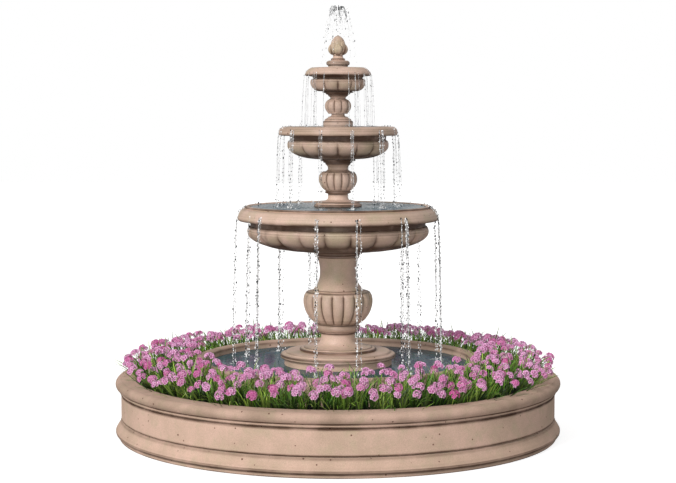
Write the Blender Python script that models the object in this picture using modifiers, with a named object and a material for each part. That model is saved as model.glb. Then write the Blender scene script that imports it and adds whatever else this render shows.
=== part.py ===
"""Tiered water fountain: a round cast-stone basin with a planted margin and an inner pool,
a pump plinth in the pool, and three bowls on balusters around one riser pipe.

Metres, +Z up. The origin is the centre of the footprint, on the ground. -Y is the front.
"""

import math

import bmesh
import bpy
from mathutils import Matrix, Vector

# --- Driving dimensions, in metres ---------------------------------------------------------
GAP = 0.0003  # between pieces that rest on each other

BASIN_R = 1.525  # outside of the coping and of the base course
TROUGH_R = 1.360  # inside of the base course and wall
COURSE_TOP = 0.127
WALL_R = 1.487
WALL_TOP = 0.305
COPING_TOP = 0.400
COPING_INNER_R = 1.375

SLAB_THICK = 0.060
POOL_OUT_R = 1.000
POOL_IN_R = 0.910
POOL_TOP = 0.522
GRAVEL_TOP = 0.120
SOIL_TOP = 0.345
PLANT_TOP = 0.600
PLANT_SECTORS = 12
SECTOR_GAP = 0.010

PLINTH_R = 0.370
PLINTH_WALL = 0.060
PLINTH_TOP = 0.520
CAP_TOP = 0.566
CAP_R = 0.398
DOOR_HALF_WIDTH = 0.130
DOOR_LOW = 0.130
DOOR_HIGH = 0.440
DOOR_GAP = 0.0006
INTAKE_WIDTH = 0.060
INTAKE_TOP = 0.110

FOOT_TOP = 0.752
LOWER_BOWL_Z = 1.259
LOWER_RIM_Z = 1.465
LOWER_TOP = 1.565
LOWER_FLOOR = 1.285
MIDDLE_FOOT_TOP = 1.667
MIDDLE_BOWL_Z = 1.884
MIDDLE_RIM_Z = 2.045
MIDDLE_TOP = 2.106
MIDDLE_FLOOR = 1.903
UPPER_FOOT_TOP = 2.192
UPPER_BOWL_Z = 2.346
UPPER_RIM_Z = 2.446
UPPER_TOP = 2.507
UPPER_FLOOR = 2.368
FINIAL_SEAT = 2.585
FINIAL_TOP = 2.720
JET_TOP = 2.930
GASKET = 0.0024

LOWER_BOWL_LOBES = 22
MIDDLE_BOWL_LOBES = 16
UPPER_BOWL_LOBES = 12
LOWER_BULB_LOBES = 18
MIDDLE_BULB_LOBES = 14
UPPER_BULB_LOBES = 10

PIPE_R = 0.0168
PIPE_BORE_R = 0.0130
THIN_PIPE_R = 0.0118
THIN_PIPE_BORE_R = 0.0085
STONE_BORE_R = 0.0260
THIN_STONE_BORE_R = 0.0155
TIP_R = 0.0080
LOWER_JOINT_Z = 1.330  # where the risers meet in their couplings
UPPER_JOINT_Z = 1.960

PUMP_Z = 0.160  # height of the pump's shaft
PUMP_BODY_R = 0.055
VOLUTE_R = 0.062
VALVE_Z = 0.309
DRAIN_Y = -0.640

POOL_SIDES = 48
PLINTH_SIDES = 32
FOOT_SIDES = 20
SMALL_SIDES = 16
PIPE_SIDES = 12


# --- Shop: finishes, turning, cutting ------------------------------------------------------
def clear_scene():
    for old in list(bpy.data.objects):
        bpy.data.objects.remove(old, do_unlink=True)


def collection(name):
    made = bpy.data.collections.new(name)
    bpy.context.scene.collection.children.link(made)
    return made


def finish(name, rgb, roughness, metallic=0.0, alpha=1.0):
    material = bpy.data.materials.new(name)
    material.use_nodes = True
    shader = material.node_tree.nodes["Principled BSDF"]
    shader.inputs["Base Color"].default_value = (*rgb, 1.0)
    shader.inputs["Roughness"].default_value = roughness
    shader.inputs["Metallic"].default_value = metallic
    shader.inputs["Alpha"].default_value = alpha
    return material


def place(name, mesh, material, smooth_deg=40.0):
    """Put a mesh in the fountain's collection as one named piece."""
    mesh.name = name
    mesh.materials.clear()
    mesh.materials.append(material)
    mesh.shade_smooth()
    mesh.set_sharp_from_angle(angle=math.radians(smooth_deg))
    piece = bpy.data.objects.new(name, mesh)
    PIECES.objects.link(piece)
    return piece


def mesh_from(bm, name):
    bmesh.ops.recalc_face_normals(bm, faces=bm.faces)
    mesh = bpy.data.meshes.new(name)
    bm.to_mesh(mesh)
    bm.free()
    return mesh


def turned_mesh(name, profile, sides):
    """The solid that a closed profile of (radius, height) points sweeps about +Z.

    The profile runs down the outer side first. Where it starts and ends on the axis, it is
    left open there, and the points on the axis are merged.
    """
    count = len(profile)
    on_axis = profile[0][0] == 0.0 and profile[-1][0] == 0.0
    edges = [(i, i + 1) for i in range(count - 1)]
    if not on_axis:
        edges.append((count - 1, 0))
    outline = bpy.data.meshes.new(name + "_profile")
    outline.from_pydata([(r, 0.0, z) for r, z in profile], edges, [])
    guide = bpy.data.objects.new(name + "_guide", outline)
    CUTTERS.objects.link(guide)
    screw = guide.modifiers.new("turn", "SCREW")
    screw.axis = "Z"
    screw.angle = math.tau
    screw.steps = sides
    screw.render_steps = sides
    screw.use_merge_vertices = True
    screw.merge_threshold = 0.00001
    bpy.context.view_layer.update()
    evaluated = guide.evaluated_get(bpy.context.evaluated_depsgraph_get())
    mesh = bpy.data.meshes.new_from_object(evaluated)
    bpy.data.objects.remove(guide, do_unlink=True)
    return mesh


def turned(name, profile, sides, material, smooth_deg=40.0):
    return place(name, turned_mesh(name, profile, sides), material, smooth_deg)


def gadrooned(name, profile, lobes, depth, low, high, material):
    """A turned piece whose outer side is pressed in between its lobes, from low to high.

    Each lobe has two sides of the turning: one on its crest and one in its valley.
    """
    mesh = turned_mesh(name, profile, 2 * lobes)
    for vertex in mesh.vertices:
        height = (vertex.co.z - low) / (high - low)
        radius = math.hypot(vertex.co.x, vertex.co.y)
        if not 0.0 < height < 1.0 or radius < inner_limit(profile, vertex.co.z):
            continue
        angle = math.atan2(vertex.co.y, vertex.co.x)
        valley = abs(math.sin(lobes * angle / 2.0))
        press = 1.0 - depth * valley * math.sin(math.pi * height) ** 0.5 / radius
        vertex.co.x *= press
        vertex.co.y *= press
    return place(name, mesh, material, 25.0)


def inner_limit(profile, z):
    """Half-way between a profile's bore and its outer side at a height."""
    near = [r for r, height in profile if abs(height - z) < 0.02]
    return 0.5 * (min(near) + max(near)) if len(set(near)) > 1 else max(near) - 0.001


def smooth(points, steps=3):
    """A smooth line through a few (radius, height) points, with steps to each stretch."""
    line = []
    last = len(points) - 1
    for i in range(last):
        before = Vector(points[max(i - 1, 0)])
        start = Vector(points[i])
        end = Vector(points[i + 1])
        after = Vector(points[min(i + 2, last)])
        for step in range(steps):
            t = step / steps
            pull = (end - before) * 0.5 * (t - 2.0 * t**2 + t**3)
            push = (after - start) * 0.5 * (t**3 - t**2)
            blend = 3.0 * t**2 - 2.0 * t**3
            line.append(tuple(start.lerp(end, blend) + pull + push))
    line.append(tuple(points[last]))
    return line


def arc(centre, half_width, half_height, start_deg, end_deg, steps):
    """Points on an upright ellipse's arc. 0 degrees is outwards and 90 is up."""
    turn = (math.radians(end_deg) - math.radians(start_deg)) / steps
    angles = [math.radians(start_deg) + turn * i for i in range(steps + 1)]
    r, z = centre
    return [(r + half_width * math.cos(a), z + half_height * math.sin(a)) for a in angles]


def cylinder_mesh(radius, low, high, sides=SMALL_SIDES):
    bm = bmesh.new()
    bmesh.ops.create_cone(
        bm,
        cap_ends=True,
        segments=sides,
        radius1=radius,
        radius2=radius,
        depth=high - low,
        matrix=Matrix.Translation((0.0, 0.0, (low + high) / 2.0)),
    )
    return mesh_from(bm, "cylinder")


def box_mesh(low, high):
    bm = bmesh.new()
    bmesh.ops.create_cube(bm, size=1.0)
    size = Vector(high) - Vector(low)
    middle = (Vector(high) + Vector(low)) / 2.0
    bmesh.ops.scale(bm, vec=size, verts=bm.verts)
    bmesh.ops.translate(bm, vec=middle, verts=bm.verts)
    return mesh_from(bm, "box")


def cutter(name, mesh, matrix=None):
    tool = bpy.data.objects.new(name, mesh)
    tool.hide_render = True
    tool.display_type = "WIRE"
    if matrix is not None:
        tool.matrix_world = matrix
    CUTTERS.objects.link(tool)
    return tool


def boolean(piece, tool, operation):
    step = piece.modifiers.new(tool.name, "BOOLEAN")
    step.operation = operation
    step.solver = "EXACT"
    step.object = tool


def hang(piece, joint):
    """Parent a piece to the empty on its joint's axis, and leave it where it is."""
    piece.parent = joint
    piece.matrix_parent_inverse = Matrix.Translation(joint.location).inverted()


def joint_axis(name, location):
    """An empty on a joint's axis, which the moving pieces hang from."""
    joint = bpy.data.objects.new(name, None)
    joint.location = location
    PIECES.objects.link(joint)
    return joint


clear_scene()
PIECES = collection("tiered_water_fountain")
CUTTERS = collection("cutters")

STONE = finish("cast_stone", (0.62, 0.45, 0.36), 0.85)
GALVANISED = finish("galvanised_steel", (0.50, 0.51, 0.52), 0.45, 0.9)
BRASS = finish("brass", (0.62, 0.45, 0.20), 0.35, 1.0)
RUBBER = finish("black_rubber", (0.03, 0.03, 0.03), 0.8)
PUMP_PLASTIC = finish("pump_plastic", (0.04, 0.05, 0.06), 0.5)
LEVER_VINYL = finish("lever_vinyl", (0.45, 0.03, 0.03), 0.45)
GRAVEL = finish("drainage_gravel", (0.35, 0.32, 0.28), 0.95)
SOIL = finish("potting_soil", (0.06, 0.04, 0.03), 1.0)
PLANTS = finish("bedding_plants", (0.10, 0.20, 0.04), 0.7)
WATER = finish("water", (0.80, 0.85, 0.88), 0.05, 0.0, 0.4)


# --- Basin: base course, wall and coping on a floor slab ------------------------------------
turned(
    "basin_base_course",
    [(1.472, COURSE_TOP), (1.492, 0.112), (1.500, 0.090), (1.517, 0.062), (BASIN_R, 0.048)]
    + [(BASIN_R, 0.030), (1.508, 0.0275), (1.500, 0.0)]
    + [(TROUGH_R, 0.0), (TROUGH_R, COURSE_TOP)],
    POOL_SIDES,
    STONE,
)
turned(
    "basin_wall",
    [(WALL_R, WALL_TOP), (WALL_R, COURSE_TOP + GAP)]
    + [(TROUGH_R, COURSE_TOP + GAP), (TROUGH_R, WALL_TOP)],
    POOL_SIDES,
    STONE,
)
ROLL_Z = 0.366
turned(
    "basin_coping",
    arc((BASIN_R - 0.040, ROLL_Z), 0.040, COPING_TOP - ROLL_Z, 90.0, -80.0, 4)
    + [(1.495, 0.331), (1.495, WALL_TOP + GAP), (COPING_INNER_R, WALL_TOP + GAP)]
    + [(COPING_INNER_R, 0.385), (1.390, COPING_TOP)],
    POOL_SIDES,
    STONE,
)
slab = turned(
    "pool_floor_slab",
    [(0.0, SLAB_THICK), (TROUGH_R - GAP, SLAB_THICK), (TROUGH_R - GAP, 0.0), (0.0, 0.0)],
    POOL_SIDES,
    STONE,
)
drain_hole = cutter("drain_hole", cylinder_mesh(0.036, -0.010, 0.080))
drain_hole.location = (0.0, DRAIN_Y, 0.0)
boolean(slab, drain_hole, "DIFFERENCE")

# --- Pool ring and planted margin -----------------------------------------------------------
turned(
    "pool_ring",
    arc(((POOL_OUT_R + POOL_IN_R) / 2.0, POOL_TOP - 0.020), 0.045, 0.020, 90.0, 0.0, 2)
    + [(POOL_OUT_R, SLAB_THICK + GAP), (POOL_IN_R, SLAB_THICK + GAP)]
    + arc(((POOL_OUT_R + POOL_IN_R) / 2.0, POOL_TOP - 0.020), 0.045, 0.020, 180.0, 135.0, 1),
    POOL_SIDES,
    STONE,
)
for name, low, high, fill in (
    ("drainage_gravel", SLAB_THICK + GAP, GRAVEL_TOP, GRAVEL),
    ("planting_soil", GRAVEL_TOP + GAP, SOIL_TOP, SOIL),
):
    outer = TROUGH_R - GAP
    inner = POOL_OUT_R + GAP
    turned(name, [(outer, high), (outer, low), (inner, low), (inner, high)], POOL_SIDES, fill)


def plant_sector(index):
    """One clump of the bedding: a mound's section swept round its share of the trough."""
    low = SOIL_TOP + GAP
    section = [(1.010, low), (1.350, low), (1.362, 0.415), (1.450, 0.425), (1.455, 0.470)]
    section += arc((1.225, 0.470), 0.215, PLANT_TOP - 0.470, 20.0, 160.0, 4)
    bm = bmesh.new()
    corners = [bm.verts.new((r, 0.0, z)) for r, z in section]
    face = bm.faces.new(corners)
    sweep = math.tau / PLANT_SECTORS - SECTOR_GAP
    start = Matrix.Rotation(index * math.tau / PLANT_SECTORS, 3, "Z")
    bmesh.ops.rotate(bm, cent=(0.0, 0.0, 0.0), matrix=start, verts=bm.verts)
    bmesh.ops.spin(
        bm, geom=[face], cent=(0.0, 0.0, 0.0), axis=(0.0, 0.0, 1.0), angle=sweep, steps=3
    )
    place(f"flower_bed_{index + 1:02d}", mesh_from(bm, "sector"), PLANTS)


for sector in range(PLANT_SECTORS):
    plant_sector(sector)


# --- Plinth: a hollow drum that hides the pump, its cap and its access door -----------------
def plinth_drum():
    inner = PLINTH_R - PLINTH_WALL
    low = SLAB_THICK + GAP
    profile = [(PLINTH_R, PLINTH_TOP), (PLINTH_R, low), (inner, low), (inner, PLINTH_TOP)]
    return turned_mesh("drum", profile, PLINTH_SIDES)


def door_box(gap):
    side = DOOR_HALF_WIDTH - gap
    return box_mesh((-side, 0.20, DOOR_LOW + gap), (side, 0.50, DOOR_HIGH - gap))


plinth = place("plinth_block", plinth_drum(), STONE)
boolean(plinth, cutter("door_opening", door_box(0.0)), "DIFFERENCE")
for notch in range(5):
    turn = Matrix.Rotation(math.radians(-90.0 + 60.0 * (notch - 2)), 4, "Z")
    half = INTAKE_WIDTH / 2.0
    block = box_mesh((0.20, -half, 0.0), (0.50, half, INTAKE_TOP))
    boolean(plinth, cutter(f"intake_notch_{notch}", block, turn), "DIFFERENCE")

door = place("chamber_door", plinth_drum(), STONE)
boolean(door, cutter("door_blank", door_box(DOOR_GAP)), "INTERSECT")
door_slide = joint_axis("door_axis", (0.0, PLINTH_R, (DOOR_LOW + DOOR_HIGH) / 2.0))
hang(door, door_slide)
knob_profile = [(0.0, 0.034), (0.012, 0.034), (0.018, 0.026), (0.016, 0.016), (0.008, 0.010)]
knob_profile += [(0.008, 0.004), (0.014, 0.001), (0.014, GAP), (0.0, GAP)]
knob = turned("door_knob", knob_profile, SMALL_SIDES, BRASS)
knob.matrix_world = Matrix.Translation(door_slide.location) @ Matrix.Rotation(
    math.radians(-90.0), 4, "X"
)
hang(knob, door_slide)

turned(
    "plinth_cap",
    [(0.352, CAP_TOP), (0.362, CAP_TOP - 0.006), (0.368, 0.552), (0.388, 0.549)]
    + [(CAP_R, 0.540), (CAP_R, PLINTH_TOP + GAP)]
    + [(STONE_BORE_R, PLINTH_TOP + GAP), (STONE_BORE_R, CAP_TOP)],
    PLINTH_SIDES,
    STONE,
)


# --- Pedestals and balusters ----------------------------------------------------------------
def bored(bore, low, high):
    """The inner side that closes a turned piece's profile: its pipe bore, bottom to top."""
    return [(bore, low), (bore, high)]


low = CAP_TOP + GAP
turned(
    "lower_foot",
    [(0.138, FOOT_TOP)]
    + arc((0.124, 0.727), 0.027, 0.025, 80.0, -80.0, 4)
    + [(0.130, 0.698), (0.117, 0.688), (0.117, 0.660), (0.128, 0.624), (0.168, 0.598)]
    + [(0.236, 0.590), (0.258, 0.583), (0.265, 0.578), (0.265, low)]
    + bored(STONE_BORE_R, low, FOOT_TOP),
    FOOT_SIDES,
    STONE,
)
low = FOOT_TOP + GAP
high = LOWER_BOWL_Z - GASKET - 2 * GAP
gadrooned(
    "lower_baluster",
    [(0.178, high), (0.176, 1.247), (0.165, 1.243), (0.164, 1.232), (0.146, 1.228)]
    + [(0.144, 1.206)]
    + [(0.136, 1.190), (0.124, 1.130), (0.127, 1.069), (0.146, 1.020), (0.170, 0.988)]
    + [(0.172, 0.979), (0.212, 0.974)]
    + smooth([(0.222, 0.962), (0.240, 0.915), (0.227, 0.848)], 2)
    + [(0.1965, 0.792), (0.160, 0.760), (0.150, low)]
    + bored(STONE_BORE_R, low, high),
    LOWER_BULB_LOBES,
    0.020,
    0.760,
    0.974,
    STONE,
)

low = LOWER_FLOOR + GAP
turned(
    "middle_foot",
    [(0.080, MIDDLE_FOOT_TOP)]
    + arc((0.076, 1.657), 0.013, 0.0095, 70.0, -70.0, 4)
    + [(0.0685, 1.645), (0.0685, 1.620), (0.075, 1.606), (0.090, 1.599)]
    + [(0.147, 1.593), (0.150, 1.577), (0.164, 1.574), (0.164, 1.550), (0.150, 1.540)]
    + [(0.150, low)]
    + bored(STONE_BORE_R, low, MIDDLE_FOOT_TOP),
    FOOT_SIDES,
    STONE,
)
low = MIDDLE_FOOT_TOP + GAP
high = MIDDLE_BOWL_Z - GASKET - 2 * GAP
gadrooned(
    "middle_baluster",
    [(0.122, high), (0.119, 1.873), (0.101, 1.869), (0.099, 1.859), (0.086, 1.855)]
    + [(0.084, 1.846)]
    + [(0.0690, 1.828), (0.0700, 1.812), (0.090, 1.799)]
    + [(0.122, 1.787), (0.1300, 1.771), (0.1335, 1.750), (0.130, 1.725), (0.123, 1.702)]
    + [(0.098, 1.676)]
    + [(0.086, low)]
    + bored(STONE_BORE_R, low, high),
    MIDDLE_BULB_LOBES,
    0.012,
    1.672,
    1.797,
    STONE,
)

low = MIDDLE_FLOOR + GAP
turned(
    "upper_foot",
    [(0.047, UPPER_FOOT_TOP), (0.047, 2.178), (0.068, 2.170), (0.070, 2.163), (0.089, 2.157)]
    + [(0.0925, 2.144), (0.102, 2.140), (0.1025, 2.105), (0.096, 2.095), (0.096, low)]
    + bored(STONE_BORE_R, low, 2.000)
    + bored(THIN_STONE_BORE_R, 2.020, UPPER_FOOT_TOP),
    FOOT_SIDES,
    STONE,
)
low = UPPER_FOOT_TOP + GAP
high = UPPER_BOWL_Z - GASKET - 2 * GAP
gadrooned(
    "upper_baluster",
    [(0.109, high), (0.104, 2.337), (0.084, 2.333), (0.080, 2.325), (0.068, 2.320)]
    + [(0.0525, 2.303), (0.0620, 2.290), (0.082, 2.278), (0.0895, 2.264)]
    + [(0.0921, 2.249), (0.0895, 2.229), (0.082, 2.211), (0.070, 2.197)]
    + [(0.066, low)]
    + bored(THIN_STONE_BORE_R, low, high),
    UPPER_BULB_LOBES,
    0.009,
    2.197,
    2.286,
    STONE,
)


# --- Bowls ----------------------------------------------------------------------------------
def bowl(name, lobes, depth, bottom, floor, belly, foot, swell, recess, rim, inside, bore):
    """A gadrooned bowl on its side: rim, recess and belly outside, then its hollow.

    belly and foot are radii, swell is the height of the widest line, recess is the points of
    the neck under the rim, rim the rim's points from its inner edge down to its underside,
    and inside the hollow's points from its floor up.
    """
    outer = rim + recess
    outer += arc((foot, swell), belly - foot, swell - bottom, 0.0, -90.0, 4)
    inner = [(bore, bottom), (bore, floor)] + inside
    gadrooned(name, outer + inner, lobes, depth, bottom, swell + 0.8 * (recess[-1][1] - swell), STONE)


bowl(
    "lower_bowl",
    LOWER_BOWL_LOBES,
    0.020,
    bottom=LOWER_BOWL_Z,
    floor=LOWER_FLOOR,
    belly=0.624,
    foot=0.230,
    swell=1.390,
    recess=[(0.600, LOWER_RIM_Z), (0.600, 1.430), (0.614, 1.424)],
    rim=[(0.622, LOWER_TOP), (0.638, 1.561), (0.640, 1.548)]
    + arc((0.615, 1.488), 0.0735, 0.056, 60.0, 0.0, 2)
    + [(0.678, LOWER_RIM_Z)],
    inside=[(0.160, LOWER_FLOOR), (0.400, 1.308), (0.530, 1.370), (0.585, 1.460)],
    bore=STONE_BORE_R,
)
bowl(
    "middle_bowl",
    MIDDLE_BOWL_LOBES,
    0.014,
    bottom=MIDDLE_BOWL_Z,
    floor=MIDDLE_FLOOR,
    belly=0.3486,
    foot=0.130,
    swell=1.976,
    recess=[(0.328, MIDDLE_RIM_Z - 0.002), (0.328, 2.014), (0.340, 2.008)],
    rim=[(0.340, MIDDLE_TOP), (0.376, 2.104), (0.392, 2.096), (0.406, 2.074)]
    + [(0.406, MIDDLE_RIM_Z)],
    inside=[(0.102, MIDDLE_FLOOR), (0.245, 1.930), (0.305, 1.985)],
    bore=STONE_BORE_R,
)
bowl(
    "upper_bowl",
    UPPER_BOWL_LOBES,
    0.009,
    bottom=UPPER_BOWL_Z,
    floor=UPPER_FLOOR,
    belly=0.191,
    foot=0.126,
    swell=2.405,
    recess=[(0.178, UPPER_RIM_Z), (0.168, 2.436), (0.178, 2.430)],
    rim=[(0.162, UPPER_TOP), (0.186, 2.504), (0.207, 2.492), (0.2245, 2.479), (0.2245, 2.450)],
    inside=[(0.076, UPPER_FLOOR), (0.125, 2.390), (0.150, 2.430)],
    bore=THIN_STONE_BORE_R,
)

# --- Rubber gaskets between each baluster and its bowl --------------------------------------
for name, radius, seat, bore in (
    ("lower_bowl_gasket", 0.160, LOWER_BOWL_Z, STONE_BORE_R),
    ("middle_bowl_gasket", 0.105, MIDDLE_BOWL_Z, STONE_BORE_R),
    ("upper_bowl_gasket", 0.095, UPPER_BOWL_Z, THIN_STONE_BORE_R),
):
    high = seat - GAP
    low = high - GASKET
    turned(name, [(radius, high), (radius, low), (bore, low), (bore, high)], SMALL_SIDES, RUBBER)

# --- Finial ---------------------------------------------------------------------------------
low = UPPER_FLOOR + GAP
turned(
    "finial_base",
    [(0.037, FINIAL_SEAT), (0.037, 2.568), (0.050, 2.564), (0.050, 2.556), (0.060, 2.548)]
    + [(0.088, 2.530), (0.078, 2.520), (0.070, 2.505), (0.062, 2.440), (0.070, low)]
    + bored(THIN_STONE_BORE_R, low, FINIAL_SEAT),
    SMALL_SIDES,
    STONE,
)
low = FINIAL_SEAT + GAP
gadrooned(
    "finial",
    [(0.0100, FINIAL_TOP)]
    + [(0.018, 2.717), (0.036, 2.700), (0.048, 2.678), (0.052, 2.662)]
    + [(0.066, 2.648), (0.070, 2.630), (0.058, 2.602), (0.038, 2.590)]
    + [(0.036, low)]
    + bored(THIN_STONE_BORE_R, low, 2.620)
    + [(0.0100, 2.640)],
    12,
    0.006,
    2.595,
    2.655,
    STONE,
)


# --- Plumbing: risers, couplings and nozzle -------------------------------------------------
def pipe(name, outer, bore, low, high, material, sides=PIPE_SIDES):
    profile = [(outer, high), (outer, low), (bore, low), (bore, high)]
    return turned(name, profile, sides, material)


RISER_FOOT = VALVE_Z + 0.038
pipe("riser_lower", PIPE_R, PIPE_BORE_R, RISER_FOOT + GAP, LOWER_JOINT_Z, GALVANISED)
pipe(
    "riser_middle", PIPE_R, PIPE_BORE_R, LOWER_JOINT_Z + GAP, UPPER_JOINT_Z, GALVANISED
)
RISER_HEAD = 2.530
pipe(
    "riser_upper",
    THIN_PIPE_R,
    THIN_PIPE_BORE_R,
    UPPER_JOINT_Z + GAP,
    RISER_HEAD,
    GALVANISED,
)
turned(
    "riser_coupling_lower",
    [(0.0210, LOWER_JOINT_Z + 0.026), (0.0230, LOWER_JOINT_Z + 0.022)]
    + [(0.0230, LOWER_JOINT_Z - 0.022), (0.0210, LOWER_JOINT_Z - 0.026)]
    + bored(PIPE_R + GAP, LOWER_JOINT_Z - 0.026, LOWER_JOINT_Z + 0.026),
    PIPE_SIDES,
    BRASS,
)
# The reducing coupling sits in the middle bowl's and upper foot's wide lower bore.
reducer_low = UPPER_JOINT_Z - 0.024
turned(
    "riser_coupling_upper",
    [(0.0150, UPPER_JOINT_Z + 0.024), (0.0150, UPPER_JOINT_Z + 0.006)]
    + [(0.0205, UPPER_JOINT_Z - 0.001), (0.0205, reducer_low), (PIPE_R + GAP, reducer_low)]
    + [(PIPE_R + GAP, UPPER_JOINT_Z + GAP / 2.0), (THIN_PIPE_R + GAP, UPPER_JOINT_Z + 0.002)]
    + [(THIN_PIPE_R + GAP, UPPER_JOINT_Z + 0.024)],
    PIPE_SIDES,
    BRASS,
)
turned(
    "spray_nozzle",
    [(0.0045, FINIAL_TOP + 0.004), (TIP_R, FINIAL_TOP + 0.001), (TIP_R, 2.600)]
    + [(0.0140, 2.592), (0.0140, RISER_HEAD + GAP), (THIN_PIPE_BORE_R, RISER_HEAD + GAP)]
    + [(THIN_PIPE_BORE_R, 2.588), (0.0055, 2.596), (0.0028, FINIAL_TOP + 0.004)],
    PIPE_SIDES,
    BRASS,
)


# --- Pump: a submersible pump on its side, with the shaft along X ----------------------------
SHAFT = Matrix.Translation((0.0, 0.0, PUMP_Z)) @ Matrix.Rotation(math.radians(90.0), 4, "Y")


def on_shaft(name, profile, material, sides=SMALL_SIDES):
    """A piece turned about the pump's shaft: a profile's height becomes +X."""
    mesh = turned_mesh(name, profile, sides)
    mesh.transform(SHAFT)
    return place(name, mesh, material)


VOLUTE_BACK = 0.030
on_shaft(
    "pump_housing",
    [(0.0, 0.200), (0.030, 0.198), (0.048, 0.186), (PUMP_BODY_R, 0.165)]
    + [(PUMP_BODY_R, VOLUTE_BACK + GAP), (0.0055, VOLUTE_BACK + GAP)]
    + [(0.0055, 0.110), (0.0, 0.110)],
    PUMP_PLASTIC,
)
cover = on_shaft(
    "pump_cover",
    [(VOLUTE_R, VOLUTE_BACK), (VOLUTE_R, -0.026), (0.054, -0.034), (0.022, -0.034)]
    + [(0.022, -0.026), (0.050, -0.026), (0.050, VOLUTE_BACK)],
    PUMP_PLASTIC,
)
OUTLET_TOP = PUMP_Z + 0.078
spout = cutter("volute_spout", cylinder_mesh(0.024, PUMP_Z + 0.054, OUTLET_TOP, PIPE_SIDES))
boolean(cover, spout, "UNION")
spout_bore = cutter(
    "volute_bore", cylinder_mesh(PIPE_BORE_R, PUMP_Z + 0.040, OUTLET_TOP + 0.010, PIPE_SIDES)
)
boolean(cover, spout_bore, "DIFFERENCE")

impeller = on_shaft(
    "impeller",
    [(0.0, 0.104), (0.0045, 0.104), (0.0045, 0.022), (0.044, 0.018), (0.044, 0.012)]
    + [(0.012, 0.008), (0.010, -0.012), (0.0, -0.016)],
    PUMP_PLASTIC,
)
for vane in range(6):
    blade = box_mesh((-0.012, -0.0015, 0.008), (0.0125, 0.0015, 0.043))
    turn = Matrix.Translation((0.0, 0.0, PUMP_Z)) @ Matrix.Rotation(vane * math.tau / 6, 4, "X")
    boolean(impeller, cutter(f"vane_{vane}", blade, turn), "UNION")
hang(impeller, joint_axis("shaft_axis", (0.0, 0.0, PUMP_Z)))

screen = on_shaft(
    "intake_screen",
    [(0.052, -0.0343), (0.052, -0.070), (0.044, -0.082), (0.0, -0.082)]
    + [(0.0, -0.079), (0.042, -0.079), (0.049, -0.069), (0.049, -0.0343)],
    PUMP_PLASTIC,
)
for slot in range(4):
    bar = box_mesh((-0.066, -0.060, -0.003), (-0.042, 0.060, 0.003))
    turn = Matrix.Translation((0.0, 0.0, PUMP_Z)) @ Matrix.Rotation(
        (slot + 0.5) * math.pi / 4, 4, "X"
    )
    boolean(screen, cutter(f"screen_slot_{slot}", bar, turn), "DIFFERENCE")

base_top = PUMP_Z - PUMP_BODY_R - GAP
base_low = base_top - 0.012
base = place("pump_base", box_mesh((0.045, -0.055, base_low), (0.180, 0.055, base_top)), PUMP_PLASTIC)
edge = base.modifiers.new("soft_corners", "BEVEL")
edge.width = 0.004
edge.segments = 2
for side, y in (("left", -0.040), ("right", 0.040)):
    low_corner = (0.050, y - 0.010, SLAB_THICK + GAP)
    high_corner = (0.175, y + 0.010, base_low - GAP)
    place(f"pump_foot_{side}", box_mesh(low_corner, high_corner), RUBBER)
gland = turned(
    "cable_gland",
    [(0.0055, 0.030), (0.009, 0.026), (0.012, 0.010), (0.014, 0.008), (0.014, GAP)]
    + [(0.0055, GAP)],
    16,
    PUMP_PLASTIC,
)
gland.matrix_world = Matrix.Translation((0.200, 0.0, PUMP_Z)) @ Matrix.Rotation(
    math.radians(90.0), 4, "Y"
)
turned(
    "outlet_fitting",
    [(0.0210, VALVE_Z - 0.038 - GAP), (0.0210, OUTLET_TOP + 0.018)]
    + [(0.0270, OUTLET_TOP + 0.015), (0.0270, OUTLET_TOP + GAP)]
    + bored(PIPE_BORE_R, OUTLET_TOP + GAP, VALVE_Z - 0.038 - GAP),
    PIPE_SIDES,
    BRASS,
)

# --- Flow valve: a ball valve whose stem faces the access door -------------------------------
BALL_R = 0.0180
valve = turned(
    "valve_body",
    [(0.0225, VALVE_Z + 0.038), (0.0225, VALVE_Z + 0.026), (0.0270, VALVE_Z + 0.016)]
    + [(0.0270, VALVE_Z - 0.016), (0.0225, VALVE_Z - 0.026), (0.0225, VALVE_Z - 0.038)]
    + [(PIPE_BORE_R, VALVE_Z - 0.038), (PIPE_BORE_R, VALVE_Z - 0.0145)]
    + arc((0.0, VALVE_Z), 0.0192, 0.0192, -42.0, 42.0, 6)
    + [(PIPE_BORE_R, VALVE_Z + 0.0145), (PIPE_BORE_R, VALVE_Z + 0.038)],
    PIPE_SIDES,
    BRASS,
)
AWAY = Matrix.Translation((0.0, 0.0, VALVE_Z)) @ Matrix.Rotation(math.radians(-90.0), 4, "X")
boss = cutter("stem_boss", cylinder_mesh(0.0115, 0.021, 0.036, 16), AWAY)
boolean(valve, boss, "UNION")
stem_hole = cutter("stem_hole", cylinder_mesh(0.0066, 0.0, 0.060, 16), AWAY)
boolean(valve, stem_hole, "DIFFERENCE")

ball_mesh = bpy.data.meshes.new("ball")
bm = bmesh.new()
bmesh.ops.create_uvsphere(bm, u_segments=16, v_segments=8, radius=BALL_R)
bm.to_mesh(ball_mesh)
bm.free()
ball = place("valve_ball", ball_mesh, GALVANISED)
ball.location = (0.0, 0.0, VALVE_Z)
ball_bore = cutter("ball_bore", cylinder_mesh(PIPE_BORE_R - 0.001, -0.040, 0.040, PIPE_SIDES))
ball_bore.location = (0.0, 0.0, VALVE_Z)
boolean(ball, ball_bore, "DIFFERENCE")
valve_axis = joint_axis("valve_axis", (0.0, 0.0, VALVE_Z))
hang(ball, valve_axis)

lever = place("valve_lever", cylinder_mesh(0.0058, 0.0183, 0.052, 16), LEVER_VINYL)
lever.data.transform(AWAY)
handle = box_mesh((-0.010, 0.044, VALVE_Z - 0.012), (0.010, 0.048, VALVE_Z + 0.090))
boolean(lever, cutter("lever_blade", handle), "UNION")
hang(lever, valve_axis)

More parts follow.
